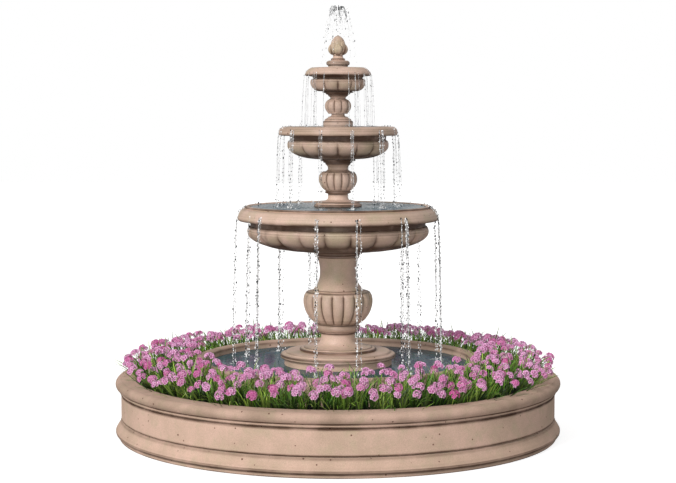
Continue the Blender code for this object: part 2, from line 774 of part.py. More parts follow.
# --- Drain in the pool floor ----------------------------------------------------------------
drain = turned(
    "drain_body",
    [(0.050, SLAB_THICK + 0.004), (0.054, SLAB_THICK + GAP), (0.034, SLAB_THICK + GAP)]
    + [(0.034, 0.004), (0.024, 0.004), (0.024, SLAB_THICK + 0.004)],
    SMALL_SIDES,
    BRASS,
)
drain.location = (0.0, DRAIN_Y, 0.0)
seat = SLAB_THICK + 0.004
seal = turned(
    "drain_seal",
    [(0.032, seat + 0.003), (0.032, seat + GAP), (0.025, seat + GAP), (0.025, seat + 0.003)],
    SMALL_SIDES,
    RUBBER,
)
seal.location = (0.0, DRAIN_Y, 0.0)
plug_seat = seat + 0.003 + GAP
plug = turned(
    "drain_plug",
    [(0.0, plug_seat + 0.030), (0.008, plug_seat + 0.028), (0.010, plug_seat + 0.020)]
    + [(0.006, plug_seat + 0.008), (0.034, plug_seat + 0.004), (0.034, plug_seat)]
    + [(0.0225, plug_seat), (0.0205, 0.030), (0.0, 0.030)],
    SMALL_SIDES,
    BRASS,
)
plug.location = (0.0, DRAIN_Y, 0.0)
hang(plug, joint_axis("drain_axis", (0.0, DRAIN_Y, 0.0)))

# --- Jet: the water's umbrella from the nozzle, open below -----------------------------------
JET_LOW = 2.530
jet_outside = [(0.050, 2.926), (0.080, 2.905), (0.100, 2.850), (0.122, 2.740), (0.136, 2.620)]
jet_inside = [(0.129, 2.620), (0.114, 2.740), (0.092, 2.845), (0.060, 2.896)]
turned(
    "water_jet",
    [(0.0, JET_TOP), (0.020, JET_TOP)]
    + jet_outside
    + [(0.137, JET_LOW), (0.131, JET_LOW)]
    + jet_inside
    + [(0.012, 2.900), (0.006, FINIAL_TOP + 0.010), (0.0, FINIAL_TOP + 0.010)],
    SMALL_SIDES,
    WATER,
)
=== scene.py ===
import math

import bmesh
import bpy
import numpy as np
from mathutils import Matrix, Vector


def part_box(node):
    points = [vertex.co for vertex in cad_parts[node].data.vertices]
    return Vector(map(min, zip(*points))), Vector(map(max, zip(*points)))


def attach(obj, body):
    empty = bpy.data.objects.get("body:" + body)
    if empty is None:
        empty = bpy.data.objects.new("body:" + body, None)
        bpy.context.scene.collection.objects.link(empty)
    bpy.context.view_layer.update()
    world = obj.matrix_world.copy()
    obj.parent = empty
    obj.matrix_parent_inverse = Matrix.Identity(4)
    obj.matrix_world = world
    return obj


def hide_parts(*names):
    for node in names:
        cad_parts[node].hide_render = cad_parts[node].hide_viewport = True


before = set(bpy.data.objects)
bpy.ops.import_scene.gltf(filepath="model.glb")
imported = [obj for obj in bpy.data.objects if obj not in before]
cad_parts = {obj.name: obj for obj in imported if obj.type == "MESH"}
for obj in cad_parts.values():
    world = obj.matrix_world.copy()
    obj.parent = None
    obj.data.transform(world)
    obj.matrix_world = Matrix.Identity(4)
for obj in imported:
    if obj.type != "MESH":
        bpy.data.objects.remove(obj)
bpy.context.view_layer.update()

# --- Camera, floor and studio light ---------------------------------------------------------
# A long lens stands at a grown person's raised arm and looks slightly down at the fountain.
# One soft key comes from the upper left in front, and a white surround fills the rest.
VIEW_DISTANCE = 11.294
VIEW_HEIGHT = 2.205
VIEW_DOWN_DEG = 4.493


def linear(hex_colour):
    """An sRGB hex value as a linear colour with alpha 1."""
    parts = [int(hex_colour[i : i + 2], 16) / 255.0 for i in (1, 3, 5)]
    return tuple(c / 12.92 if c <= 0.04045 else ((c + 0.055) / 1.055) ** 2.4 for c in parts) + (1.0,)


def add(tree, kind, inputs=None, **settings):
    """Adds a node to a tree, with its settings, and fills or links its inputs."""
    made = tree.nodes.new(kind)
    for key, value in settings.items():
        setattr(made, key, value)
    for socket, value in (inputs or {}).items():
        if isinstance(value, bpy.types.NodeSocket):
            tree.links.new(value, made.inputs[socket])
        else:
            made.inputs[socket].default_value = value
    return made


def maths(tree, operation, *inputs, **settings):
    """The result of one step of arithmetic."""
    return add(tree, "ShaderNodeMath", dict(enumerate(inputs)), operation=operation, **settings).outputs[0]


def ranged(tree, value, **ends):
    """A value carried from one range to another. Each range is 0 to 1 where no end is given."""
    inputs = {label.replace("_", " "): end for label, end in ends.items()}
    return add(tree, "ShaderNodeMapRange", {"Value": value, **inputs}).outputs[0]


def placed(name, data):
    """A new object in the scene."""
    made = bpy.data.objects.new(name, data)
    bpy.context.scene.collection.objects.link(made)
    return made


def surface(name, **fixed):
    """A new material with its Principled shader, and the values that are the same all over."""
    material = bpy.data.materials.new(name)
    material.use_nodes = True
    shader = material.node_tree.nodes["Principled BSDF"]
    for socket, value in fixed.items():
        shader.inputs[socket.replace("_", " ")].default_value = value
    return material, material.node_tree, shader


camera_data = bpy.data.cameras.new("camera")
camera_data.lens = 87.8
camera_data.sensor_width = 36.0
camera_data.clip_end = 200.0
camera = placed("camera", camera_data)
camera.location = (0.0, -VIEW_DISTANCE, VIEW_HEIGHT)
camera.rotation_euler = (math.radians(90.0 - VIEW_DOWN_DEG), 0.0, 0.0)
bpy.context.scene.camera = camera
bpy.context.scene.view_settings.view_transform = "Standard"

FLOOR_HALF = 40.0
floor_mesh = bpy.data.meshes.new("floor")
corners = [(x * FLOOR_HALF, y * FLOOR_HALF, 0.0) for x, y in ((-1, -1), (1, -1), (1, 1), (-1, 1))]
floor_mesh.from_pydata(corners, [], [(0, 1, 2, 3)])
floor = placed("floor", floor_mesh)
# The paper glows a little to the lens, as an overexposed sweep does, and bounces little back.
paper, tree, shader = surface("seamless_white_paper", Roughness=0.9)
seen = add(tree, "ShaderNodeLightPath").outputs["Is Camera Ray"]
shade = ranged(tree, seen, To_Min=0.22, To_Max=0.40)
tree.links.new(shade, shader.inputs["Base Color"])
shader.inputs["Emission Color"].default_value = linear("#ffffff")
glow = maths(tree, "MULTIPLY", seen, 0.80)
tree.links.new(glow, shader.inputs["Emission Strength"])
floor_mesh.materials.append(paper)

world = bpy.data.worlds.new("studio")
world.use_nodes = True
tree = world.node_tree
seen = add(tree, "ShaderNodeLightPath").outputs["Is Camera Ray"]
level = ranged(tree, seen, To_Min=0.60, To_Max=1.0)
tree.nodes["Background"].inputs["Color"].default_value = (1.0, 1.0, 1.0, 1.0)
tree.links.new(level, tree.nodes["Background"].inputs["Strength"])
bpy.context.scene.world = world

KEY_HIGH_DEG = 33.0
KEY_LEFT_DEG = 36.0
key_data = bpy.data.lights.new("key", "SUN")
key_data.energy = 2.10
key_data.angle = math.radians(14.0)
key_data.color = (1.0, 0.985, 0.965)
key = placed("key", key_data)
high, left = math.radians(KEY_HIGH_DEG), math.radians(KEY_LEFT_DEG)
shines = Vector((math.cos(high) * math.sin(left), math.cos(high) * math.cos(left), -math.sin(high)))
key.rotation_euler = shines.to_track_quat("-Z", "Y").to_euler()
# a low reflector in front, which lifts the undersides of the bowls
fill_data = bpy.data.lights.new("low_fill", "SUN")
fill_data.energy = 1.30
fill_data.angle = math.radians(40.0)
fill_data.use_shadow = False
fill = placed("low_fill", fill_data)
fill.rotation_euler = Vector((0.28, 1.0, 0.24)).to_track_quat("-Z", "Y").to_euler()


# --- Floor slab and base course -------------------------------------------------------------
# The surround stands on a cast base course round a floor slab. It is cast stone: a pinkish-tan
# cement and crushed-stone mix rammed in a mould, so it is matt, faintly mottled and pitted.
def blended(tree, factor, start, end, **settings):
    """A colour between two others."""
    inputs = {"Factor": factor, "A": start, "B": end}
    return add(tree, "ShaderNodeMix", inputs, data_type="RGBA", **settings).outputs["Result"]


def marked_value(tree, label):
    """A value that the mesh carries at each of its points."""
    return add(tree, "ShaderNodeAttribute", attribute_name=label).outputs["Fac"]


def embossed(tree, shader, level, strength, relief):
    """Relief on a finish, its height given in metres."""
    bump = add(tree, "ShaderNodeBump", {"Height": level, "Strength": strength, "Distance": relief})
    tree.links.new(bump.outputs["Normal"], shader.inputs["Normal"])


def cast_stone(name, light, dark, tint, roughness, patch_scale):
    """Cast stone in two close tones, with soft patches, fine grain, pits, and grime with painted shade."""
    material, tree, shader = surface(name, Roughness=roughness, IOR=1.5)
    place = add(tree, "ShaderNodeTexCoord").outputs["Object"]
    # patches of the mix, about 220 mm across
    patch = add(tree, "ShaderNodeTexNoise", {"Vector": place, "Scale": 4.5, "Detail": 4.0, "Roughness": 0.55})
    even = ranged(tree, patch.outputs["Fac"], From_Min=0.36, From_Max=0.64)
    body = blended(tree, even, linear(light), linear(dark))
    # a faint yellow-green weathering, in patches of about 90 mm, or 170 mm where water splashes
    moss = add(tree, "ShaderNodeTexNoise", {"Vector": place, "Scale": patch_scale, "Detail": 3.0})
    amount = ranged(tree, moss.outputs["Fac"], From_Min=0.50, From_Max=0.72, To_Max=0.6)
    aged = blended(tree, amount, body, linear(tint))
    # crushed stone, about 6 mm
    crushed = {"Vector": place, "Scale": 160.0, "Detail": 3.0, "Roughness": 0.7}
    grain = add(tree, "ShaderNodeTexNoise", crushed)
    speck = ranged(tree, grain.outputs["Fac"], From_Min=0.3, From_Max=0.7, To_Min=0.86, To_Max=1.12)
    grained = blended(tree, 1.0, aged, speck, blend_type="MULTIPLY")
    # air pits of 3 to 8 mm, one every 60 mm or so, painted dark for the shade and dirt inside them
    cell = add(tree, "ShaderNodeTexVoronoi", {"Vector": place, "Scale": 24.0, "Randomness": 1.0})
    size = add(tree, "ShaderNodeSeparateColor", {"Color": cell.outputs["Color"]})
    widest = ranged(tree, size.outputs[0], From_Min=0.45, From_Max=1.0, To_Min=0.0, To_Max=0.16)
    pit = maths(tree, "LESS_THAN", cell.outputs["Distance"], widest)
    pitted_and_shaded = blended(tree, pit, grained, linear("#6e4f41"))
    # grime and painted shade in the hollows, under the rims and at the joints
    grime = marked_value(tree, "grime")
    patchy_grime_and_shade = maths(tree, "MULTIPLY", grime, patch.outputs["Fac"])
    deep = maths(tree, "MULTIPLY", patchy_grime_and_shade, 1.95, use_clamp=True)
    grimed_and_shaded = blended(tree, deep, pitted_and_shaded, linear("#503727"))
    tree.links.new(grimed_and_shaded, shader.inputs["Base Color"])
    # the grain stands up about 1 mm, and the pits go in
    rough = maths(tree, "SUBTRACT", grain.outputs["Fac"], pit)
    embossed(tree, shader, rough, 0.35, 0.003)
    return material


STONE = cast_stone("cast_stone_surround", "#cbab99", "#ba9f8b", "#b3a187", 0.86, 11.0)
# the tiers are splashed all day, so they are damp: a soft sheen, and larger green-gold patches
TIER_STONE = cast_stone("cast_stone_tiers", "#ceb0a0", "#bda38e", "#aaa07f", 0.52, 6.0)


def arc(centre, half_width, half_height, start_deg, end_deg, steps=10):
    """Points on an upright ellipse's arc. 0 degrees is outwards and 90 is up."""
    angles = np.radians(np.linspace(start_deg, end_deg, steps + 1))
    return [(centre[0] + half_width * math.cos(a), centre[1] + half_height * math.sin(a)) for a in angles]


def under(top, *points):
    """Outline points given as (radius, depth under a piece's top)."""
    return [(radius, top - depth) for radius, depth in points]


def smooth(points, steps=8):
    """A smooth line through a few (radius, height) points."""
    line = []
    last = len(points) - 1
    for i in range(last):
        before, start, end, after = (Vector(points[min(max(k, 0), last)]) for k in (i - 1, i, i + 1, i + 2))
        for t in np.arange(steps) / steps:
            pull = (end - before) * 0.5 * (t - 2.0 * t**2 + t**3)
            push = (after - start) * 0.5 * (t**3 - t**2)
            line.append(tuple(start.lerp(end, 3.0 * t**2 - 2.0 * t**3) + pull + push))
    line.append(tuple(points[last]))
    return line


def eased(points, ease=0.004):
    """The corners of an outline rounded to about the ease, as a mould leaves them."""
    line = []
    last = len(points) - 1
    for i, point in enumerate(points):
        here = Vector(point)
        if i in (0, last):
            line.append(point)
            continue
        back, on = Vector(points[i - 1]) - here, Vector(points[i + 1]) - here
        if back.length < 1e-6 or on.length < 1e-6:
            continue
        if back.angle(on) > math.radians(160.0):
            line.append(point)
            continue
        start = here + back.normalized() * min(ease, back.length * 0.45)
        end = here + on.normalized() * min(ease, on.length * 0.45)
        for t in (0.0, 0.5, 1.0):
            line.append(tuple(start * (1 - t) ** 2 + here * 2 * t * (1 - t) + end * t**2))
    return line


def fine(points, step=0.012):
    """An outline with no stretch longer than a step, so that the grime and painted shade fade between
    corners.
    """
    line = [points[0]]
    for start, end in zip(points, points[1:]):
        cuts = max(1, math.ceil(math.dist(start, end) / step))
        for i in range(1, cuts + 1):
            line.append(tuple(Vector(start).lerp(Vector(end), i / cuts)))
    return line


def hollows(points, reach=0.006):
    """How far each point of an outline lies in a hollow or under a rim, 0 to 1, for its grime and its painted
    shade.
    """
    line = np.array(points)
    steps = np.linalg.norm(np.diff(line, axis=0), axis=1)
    along = np.concatenate([[0.0], np.cumsum(steps)])
    spots = np.stack([along - reach, along + reach])
    ends = np.stack([np.interp(spots, along, line[:, k]) for k in (0, 1)], axis=-1)
    chord = ends[1] - ends[0]
    offset = line - (ends[0] + ends[1]) / 2.0
    side = (chord[:, 0] * offset[:, 1] - chord[:, 1] * offset[:, 0]) / np.maximum(
        np.linalg.norm(chord, axis=1), 1e-6
    )
    # a point under an overhang gets painted shade, as though the rim above blocked its light
    over = line[None, :, 1] - line[:, None, 1]
    out = line[None, :, 0] - line[:, None, 0]
    outer_side = (np.gradient(line[:, 1]) <= 1e-6) & (line[:, 0] > 0.04)
    near = (over > 0.0004) & (over < 0.05) & outer_side[:, None]
    cover = np.where(near, out / np.maximum(over, 0.0004), 0.0).max(axis=1)
    return np.clip(np.maximum(side / (0.35 * reach), 0.75 * (cover - 0.9)), 0.0, 1.0)


def sockets(tree, **kinds):
    """Gives a modifier's tree its named inputs and its one output, and returns the inputs."""
    tree.is_modifier = True
    for label, kind in kinds.items():
        tree.interface.new_socket(label.replace("_", " "), in_out="INPUT", socket_type="NodeSocket" + kind)
    tree.interface.new_socket("Geometry", in_out="OUTPUT", socket_type="NodeSocketGeometry")
    return add(tree, "NodeGroupInput").outputs


def ended(tree, geometry, finish):
    """The last nodes of a modifier's tree: copies made real, and the material set."""
    real = add(tree, "GeometryNodeRealizeInstances", {"Geometry": geometry}).outputs[0]
    painted = add(tree, "GeometryNodeSetMaterial", {"Geometry": real, "Material": finish}).outputs[0]
    add(tree, "NodeGroupOutput", {"Geometry": painted})


# The lobes are pressed into a turned shell: round across, deepest at the valleys between them.
gadroons = bpy.data.node_groups.new("pressed_gadroons", "GeometryNodeTree")
inside = sockets(
    gadroons,
    Geometry="Geometry",
    Lobes="Int",
    Depth="Float",
    Bottom="Float",
    Top="Float",
    Onset="Float",
    Clear_Radius="Float",
    Finish="Material",
)
spot = add(gadroons, "GeometryNodeInputPosition").outputs[0]
xyz = add(gadroons, "ShaderNodeSeparateXYZ", {0: spot}).outputs
flat = add(gadroons, "ShaderNodeCombineXYZ", {"X": xyz["X"], "Y": xyz["Y"], "Z": 0.0}).outputs[0]
radius = add(gadroons, "ShaderNodeVectorMath", {0: flat}, operation="LENGTH").outputs["Value"]
angle = maths(gadroons, "ARCTAN2", xyz["Y"], xyz["X"])
turns = maths(gadroons, "DIVIDE", angle, math.tau)
lobe = maths(gadroons, "MULTIPLY", turns, inside["Lobes"])
part = maths(gadroons, "FRACT", lobe)
across = maths(gadroons, "MULTIPLY_ADD", part, 2.0, -1.0)
squared = maths(gadroons, "MULTIPLY", across, across)
# a half ellipse across each lobe, cut just short of upright at the valleys
below = maths(gadroons, "MULTIPLY_ADD", squared, -0.97, 1.0)
arch = maths(gadroons, "SQRT", below)
valley = maths(gadroons, "SUBTRACT", 1.0, arch)
# the lobes rise out of the plain surface at their top and run out again at their foot
height = ranged(gadroons, xyz["Z"], From_Min=inside["Top"], From_Max=inside["Bottom"])
begin = maths(gadroons, "DIVIDE", height, inside["Onset"])
end = ranged(gadroons, height, From_Min=1.0, From_Max=0.90)
swell = maths(gadroons, "MINIMUM", begin, end, use_clamp=True)
fade = maths(gadroons, "POWER", swell, 0.7)
# near the axis the bore and the bedding faces stay plain
outside = maths(gadroons, "GREATER_THAN", radius, inside["Clear Radius"])
share = maths(gadroons, "MULTIPLY", valley, fade)
share = maths(gadroons, "MULTIPLY", share, outside)
press = maths(gadroons, "MULTIPLY", share, inside["Depth"])
ratio = maths(gadroons, "DIVIDE", press, radius)
inward = maths(gadroons, "MULTIPLY", ratio, -1.0)
shift = add(gadroons, "ShaderNodeVectorMath", {0: flat, "Scale": inward}, operation="SCALE").outputs[0]
moved = add(
    gadroons, "GeometryNodeSetPosition", {"Geometry": inside["Geometry"], "Offset": shift}
).outputs[0]
# painted shade and grime gather along the valleys, besides what the outline already has
known = add(gadroons, "GeometryNodeInputNamedAttribute", {"Name": "grime"}, data_type="FLOAT")
crease_grime_and_shade = maths(gadroons, "POWER", share, 2.0)
crease_grime_and_shade = maths(gadroons, "MULTIPLY", crease_grime_and_shade, 1.3)
both = maths(gadroons, "ADD", known.outputs["Attribute"], crease_grime_and_shade, use_clamp=True)
marked = add(
    gadroons,
    "GeometryNodeStoreNamedAttribute",
    {"Geometry": moved, "Name": "grime", "Value": both},
    data_type="FLOAT",
    domain="POINT",
).outputs[0]
ended(gadroons, marked, inside["Finish"])


def apply_tree(guide, tree, **values):
    """Puts a Geometry Nodes tree on a guide, with the tree's inputs given by their names."""
    modifier = guide.modifiers.new(tree.name, "NODES")
    modifier.node_group = tree
    for item in tree.interface.items_tree:
        label = item.name.replace(" ", "_")
        if item.item_type == "SOCKET" and item.in_out == "INPUT" and label in values:
            modifier[item.identifier] = values[label]


def mesh_of(name, verts, edges, faces, **marks):
    """A new mesh, with a value at each point for each mark that its material reads."""
    mesh = bpy.data.meshes.new(name)
    mesh.from_pydata(verts, edges, faces)
    for label, values in marks.items():
        mesh.attributes.new(label, "FLOAT", "POINT").data.foreach_set("value", values)
    return mesh


def baked(guide):
    """A guide object's evaluated mesh. The guide and its modifiers are removed."""
    bpy.context.view_layer.update()
    evaluated = guide.evaluated_get(bpy.context.evaluated_depsgraph_get())
    mesh = bpy.data.meshes.new_from_object(evaluated)
    bpy.data.objects.remove(guide, do_unlink=True)
    return mesh


def piece(name, mesh, material, smooth_deg=35.0):
    """A finished piece in one material, with its edges sharp from an angle up."""
    mesh.name = name
    mesh.materials.clear()
    mesh.materials.append(material)
    mesh.shade_smooth()
    mesh.set_sharp_from_angle(angle=math.radians(smooth_deg))
    return placed(name, mesh)


def swept(outline, around, material, lobes=1, depth=0.0, bottom=0.0, top=1.0, onset=0.12, clear=0.0):
    """An outline turned about the fountain's axis, with its gadroons pressed in."""
    outline = fine(outline)
    points = [(r, 0.0, z) for r, z in outline]
    edges = [(i, i + 1) for i in range(len(outline) - 1)]
    guide = placed("outline", mesh_of("outline", points, edges, [], grime=hollows(outline)))
    screw = guide.modifiers.new("turn", "SCREW")
    screw.steps = around
    screw.render_steps = around
    screw.use_merge_vertices = True
    screw.merge_threshold = 0.00001
    # inside the clear radius nothing is pressed, and the whole of a plain piece lies inside it
    beyond = clear if depth else 2.0 * max(r for r, z in outline)
    apply_tree(
        guide,
        gadroons,
        Lobes=lobes,
        Depth=depth,
        Bottom=bottom,
        Top=top,
        Onset=onset,
        Clear_Radius=beyond,
        Finish=material,
    )
    return baked(guide)


def merged(name, meshes):
    """Several meshes as one. The originals are removed."""
    bm = bmesh.new()
    for mesh in meshes:
        bm.from_mesh(mesh)
        bpy.data.meshes.remove(mesh)
    whole = bpy.data.meshes.new(name)
    bm.to_mesh(whole)
    bm.free()
    return whole


def joined(meshes):
    """Meshes welded into one closed shell that faces outwards."""
    whole = merged("whole", meshes)
    bm = bmesh.new()
    bm.from_mesh(whole)
    bmesh.ops.remove_doubles(bm, verts=bm.verts, dist=0.00002)
    bmesh.ops.recalc_face_normals(bm, faces=bm.faces)
    if bm.calc_volume(signed=True) < 0.0:
        bmesh.ops.reverse_faces(bm, faces=bm.faces)
    bm.to_mesh(whole)
    bm.free()
    return whole


def turned(node, outline, around, material, **lobes):
    """A turned piece that stands for a CAD node: its outline is closed back to its start."""
    shell = swept(outline + [outline[0]], around, material, **lobes)
    made = piece(node + "_cast", joined([shell]), material)
    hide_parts(node)
    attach(made, "root")


def heights(node):
    """A CAD node's lowest and highest levels."""
    low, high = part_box(node)
    return low[2], high[2]


def reach(node):
    """A CAD node's outer radius."""
    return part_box(node)[1][0]


ROUND = 288  # sides of the surround, so that its edge shows no corners
bottom, top = heights("basin_base_course")
edge = reach("basin_base_course")
bore = reach("pool_floor_slab") + 0.0003
turned(
    "basin_base_course",
    smooth(
        under(top, (edge - 0.053, 0.0), (edge - 0.036, 0.013), (edge - 0.026, 0.039))
        + under(top, (edge - 0.009, 0.065), (edge, 0.081)),
    )
    + arc((edge - 0.012, top - 0.087), 0.012, 0.012, 10.0, -80.0, 5)
    + [(edge - 0.017, top - 0.0995), (edge - 0.022, top - 0.101), (edge - 0.024, bottom)]
    + [(bore, bottom), (bore, top)],
    ROUND,
    STONE,
)


# --- Surround wall --------------------------------------------------------------------------
# A plain cast drum wall, bedded on the base course with a thin mortar line that stays dark.
bottom, top = heights("basin_wall")
edge = reach("basin_wall")
turned(
    "basin_wall",
    eased([(edge - 0.012, top), (edge - 0.012, top - 0.002), (edge, top - 0.005), (edge, bottom + 0.005)])
    + [(edge - 0.012, bottom + 0.002), (edge - 0.012, bottom), (bore, bottom), (bore, top)],
    ROUND,
    STONE,
)

# --- Coping ---------------------------------------------------------------------------------
# The cap course: a fillet under a half-round roll, with a flat back that holds in the soil.
bottom, top = heights("basin_coping")
edge = reach("basin_wall") + 0.038
COPING_IN = 1.375  # its flat back, towards the soil
NOSE, ARRIS = 0.036, 0.014  # the half-height of the roll, and the small round at the back
turned(
    "basin_coping",
    arc((edge - 0.044, top - NOSE), 0.044, NOSE, 92.0, -78.0, 18)
    + under(top, (edge - 0.038, 0.0655), (edge - 0.034, 0.069), (edge - 0.030, 0.072))
    + [(edge - 0.030, bottom + 0.004)]
    + [(edge - 0.036, bottom), (COPING_IN, bottom), (COPING_IN, top - ARRIS)]
    + arc((COPING_IN + ARRIS, top - ARRIS), ARRIS, ARRIS, 180.0, 95.0, 5),
    ROUND,
    STONE,
)

# --- Pool ring ------------------------------------------------------------------------------
# The inner kerb that parts the pool from the planted trough: cast stone with a rounded top.
bottom, top = heights("pool_ring")
POOL_RADIUS = 0.910
outer = reach("pool_ring")
middle, half_width = (POOL_RADIUS + outer) / 2.0, (outer - POOL_RADIUS) / 2.0
CROWN = 0.022  # the rise of its rounded top
turned(
    "pool_ring",
    arc((middle, top - CROWN), half_width, CROWN, 90.0, 0.0, 8)
    + [(outer, bottom), (POOL_RADIUS, bottom)]
    + arc((middle, top - CROWN), half_width, CROWN, 180.0, 100.0, 8),
    ROUND,
    STONE,
)

# --- Plinth block and cap -------------------------------------------------------------------
# A hollow cast drum stands in the pool over the pump. Notches at its foot let the water in, and
# a curved door at the back, cut from the same drum, slides straight out on its brass knob.
bottom, top = heights("plinth_block")
edge = reach("plinth_block")
bore = edge - 0.060
PLINTH_ROUND = 160


def cut_from(mesh, blocks, operation):
    """A mesh with boxes taken out of it, or kept, each given as (low, high, turn in degrees)."""
    guide = placed("guide", mesh)
    tools = []
    for low, high, turn_deg in blocks:
        bm = bmesh.new()
        bmesh.ops.create_cube(bm, size=1.0)
        bmesh.ops.scale(bm, vec=Vector(high) - Vector(low), verts=bm.verts)
        bmesh.ops.translate(bm, vec=(Vector(high) + Vector(low)) / 2.0, verts=bm.verts)
        turn = Matrix.Rotation(math.radians(turn_deg), 3, "Z")
        bmesh.ops.rotate(bm, cent=(0.0, 0.0, 0.0), matrix=turn, verts=bm.verts)
        block = bpy.data.meshes.new("block")
        bm.to_mesh(block)
        bm.free()
        tool = placed("block", block)
        tools.append(tool)
        step = guide.modifiers.new("cut", "BOOLEAN")
        step.operation = operation
        step.solver = "EXACT"
        step.object = tool
    mesh = baked(guide)
    for tool in tools:
        bpy.data.objects.remove(tool, do_unlink=True)
    return mesh


drum = [(edge, top), (edge, bottom), (bore, bottom), (bore, top)]
door_low, door_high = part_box("chamber_door")
GROOVE = 0.0006  # the door's clearance all round
NEAR, FAR = 0.20, 0.50  # a cutting block runs from inside the drum's wall to outside it
NOTCH_HALF, NOTCH_TOP = 0.030, 0.110
notches = []
for k in range(5):
    low, high = (NEAR, -NOTCH_HALF, 0.0), (FAR, NOTCH_HALF, NOTCH_TOP)
    notches.append((low, high, -90.0 + 60.0 * (k - 2)))
hole = (
    (door_low[0] - GROOVE, NEAR, door_low[2] - GROOVE),
    (door_high[0] + GROOVE, FAR, door_high[2] + GROOVE),
    0.0,
)
shell = joined([swept(drum + [drum[0]], PLINTH_ROUND, STONE)])
block = piece("plinth_block_cast", cut_from(shell, [hole] + notches, "DIFFERENCE"), STONE)
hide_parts("plinth_block")
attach(block, "root")

shell = joined([swept(drum + [drum[0]], PLINTH_ROUND, STONE)])
leaf = ((door_low[0], NEAR, door_low[2]), (door_high[0], FAR, door_high[2]), 0.0)
door = piece("chamber_door_cast", cut_from(shell, [leaf], "INTERSECT"), STONE)
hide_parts("chamber_door")
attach(door, "door")

bottom, top = heights("plinth_cap")
edge = reach("plinth_cap")
BORE = 0.026  # the riser's way through the lower and middle castings
turned(
    "plinth_cap",
    eased([(edge - 0.046, top), (edge - 0.036, top - 0.006), (edge - 0.031, top - 0.014)])
    + eased([(edge - 0.022, top - 0.0165), (edge - 0.009, top - 0.019)])
    + arc((edge - 0.010, top - 0.029), 0.010, 0.010, 60.0, -40.0, 6)
    + [(edge - 0.002, bottom + 0.003), (edge - 0.006, bottom), (BORE, bottom), (BORE, top)],
    PLINTH_ROUND,
    TIER_STONE,
)

# --- Lower pedestal: foot and gadrooned baluster ---------------------------------------------
# Each tier stands on a foot with a torus and a baluster whose bulb is pressed into round lobes,
# two castings bedded on each other. The dark lines are the hollows, darkened by painted shade
# and by the grime that water leaves.
LOBE_SIDES = 16  # facets across one lobe, so that its round looks smooth
bottom, top = heights("lower_foot")
edge = reach("lower_foot")
turned(
    "lower_foot",
    [(0.130, top)]
    + arc((0.124, top - 0.026), 0.0265, 0.0245, 82.0, -72.0, 12)
    + eased(under(top, (0.131, 0.052), (0.131, 0.06), (0.118, 0.0635), (0.117, 0.068)), 0.002)
    + smooth(under(top, (0.117, 0.076), (0.118, 0.102), (0.130, 0.132), (0.168, 0.152), (0.208, 0.158)), 6)
    + smooth(under(top, (0.228, 0.159), (0.236, 0.1615), (0.238, 0.166)), 3)
    + arc((edge - 0.008, top - 0.176), 0.008, 0.008, 80.0, -60.0, 5)
    + [(edge - 0.006, bottom), (BORE, bottom), (BORE, top)],
    128,
    TIER_STONE,
)
bottom, top = heights("lower_baluster")
turned(
    "lower_baluster",
    eased(under(top, (0.172, 0.0), (0.178, 0.003), (0.176, 0.01), (0.166, 0.013), (0.1645, 0.023)), 0.003)
    + eased(under(top, (0.150, 0.0255), (0.1475, 0.03), (0.1475, 0.044), (0.143, 0.049)), 0.003)
    + smooth(
        under(top, (0.1375, 0.058), (0.128, 0.096), (0.124, 0.136))
        + under(top, (0.1275, 0.187), (0.142, 0.226), (0.168, 0.264)),
        8,
    )
    + eased(under(top, (0.173, 0.272), (0.171, 0.2775), (0.185, 0.2795), (0.212, 0.2805)), 0.002)
    + smooth(
        under(top, (0.222, 0.287), (0.236, 0.311), (0.2405, 0.341))
        + under(top, (0.236, 0.38), (0.219, 0.428), (0.190, 0.471)),
        8,
    )
    + smooth(under(top, (0.171, 0.488), (0.156, 0.4975), (0.148, top - bottom)), 4)
    + [(BORE, bottom), (BORE, top)],
    18 * LOBE_SIDES,
    TIER_STONE,
    lobes=18,
    depth=0.024,
    bottom=top - 0.504,
    top=top - 0.284,
    clear=0.06,
)

# --- Lower bowl -----------------------------------------------------------------------------
# The widest bowl, cast in one: a gadrooned belly, a recess that throws a dark shadow, deepened
# with painted shade, and a rolled rim with a small bead inside it that the water spills over.
def bowl(node, outline, hollow, around, lobes, depth, bottom, top):
    """A bowl's outer side, with its gadroons from bottom to top, and its plain hollow, as one casting."""
    outside = swept(outline, around, TIER_STONE, lobes, depth, bottom, top, onset=0.45, clear=0.03)
    inside_face = swept([outline[-1]] + hollow + [outline[0]], around, TIER_STONE)
    made = piece(node + "_cast", joined([outside, inside_face]), TIER_STONE)
    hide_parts(node)
    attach(made, "root")


bottom, top = heights("lower_bowl")
LOWER_FLOOR = heights("middle_foot")[0] - 0.0003
bowl(
    "lower_bowl",
    [(0.614, top - 0.001)]
    + arc((0.626, top - 0.010), 0.0120, 0.010, 95.0, -40.0, 8)
    + smooth(under(top, (0.639, 0.0175), (0.648, 0.0185), (0.660, 0.026), (0.6745, 0.044), (0.683, 0.062)), 4)
    + smooth(under(top, (0.6865, 0.075), (0.6880, 0.085), (0.686, 0.094), (0.680, 0.099)), 4)
    + eased(
        under(top, (0.664, 0.1), (0.611, 0.1), (0.609, 0.108), (0.603, 0.11), (0.600, 0.125), (0.601, 0.137)),
        0.002,
    )
    + smooth(under(top, (0.609, 0.14), (0.618, 0.149), (0.624, 0.167)), 5)
    + arc((0.230, top - 0.175), 0.394, top - 0.175 - bottom, -3.0, -89.0, 30)
    + [(0.185, bottom + 0.0005), (0.178, bottom), (BORE, bottom)],
    [(BORE, LOWER_FLOOR), (0.158, LOWER_FLOOR)]
    + smooth(under(top, (0.240, 0.277), (0.400, 0.255), (0.530, 0.194), (0.584, 0.105), (0.602, 0.01)), 8),
    22 * LOBE_SIDES,
    22,
    0.030,
    bottom - 0.010,
    top - 0.141,
)

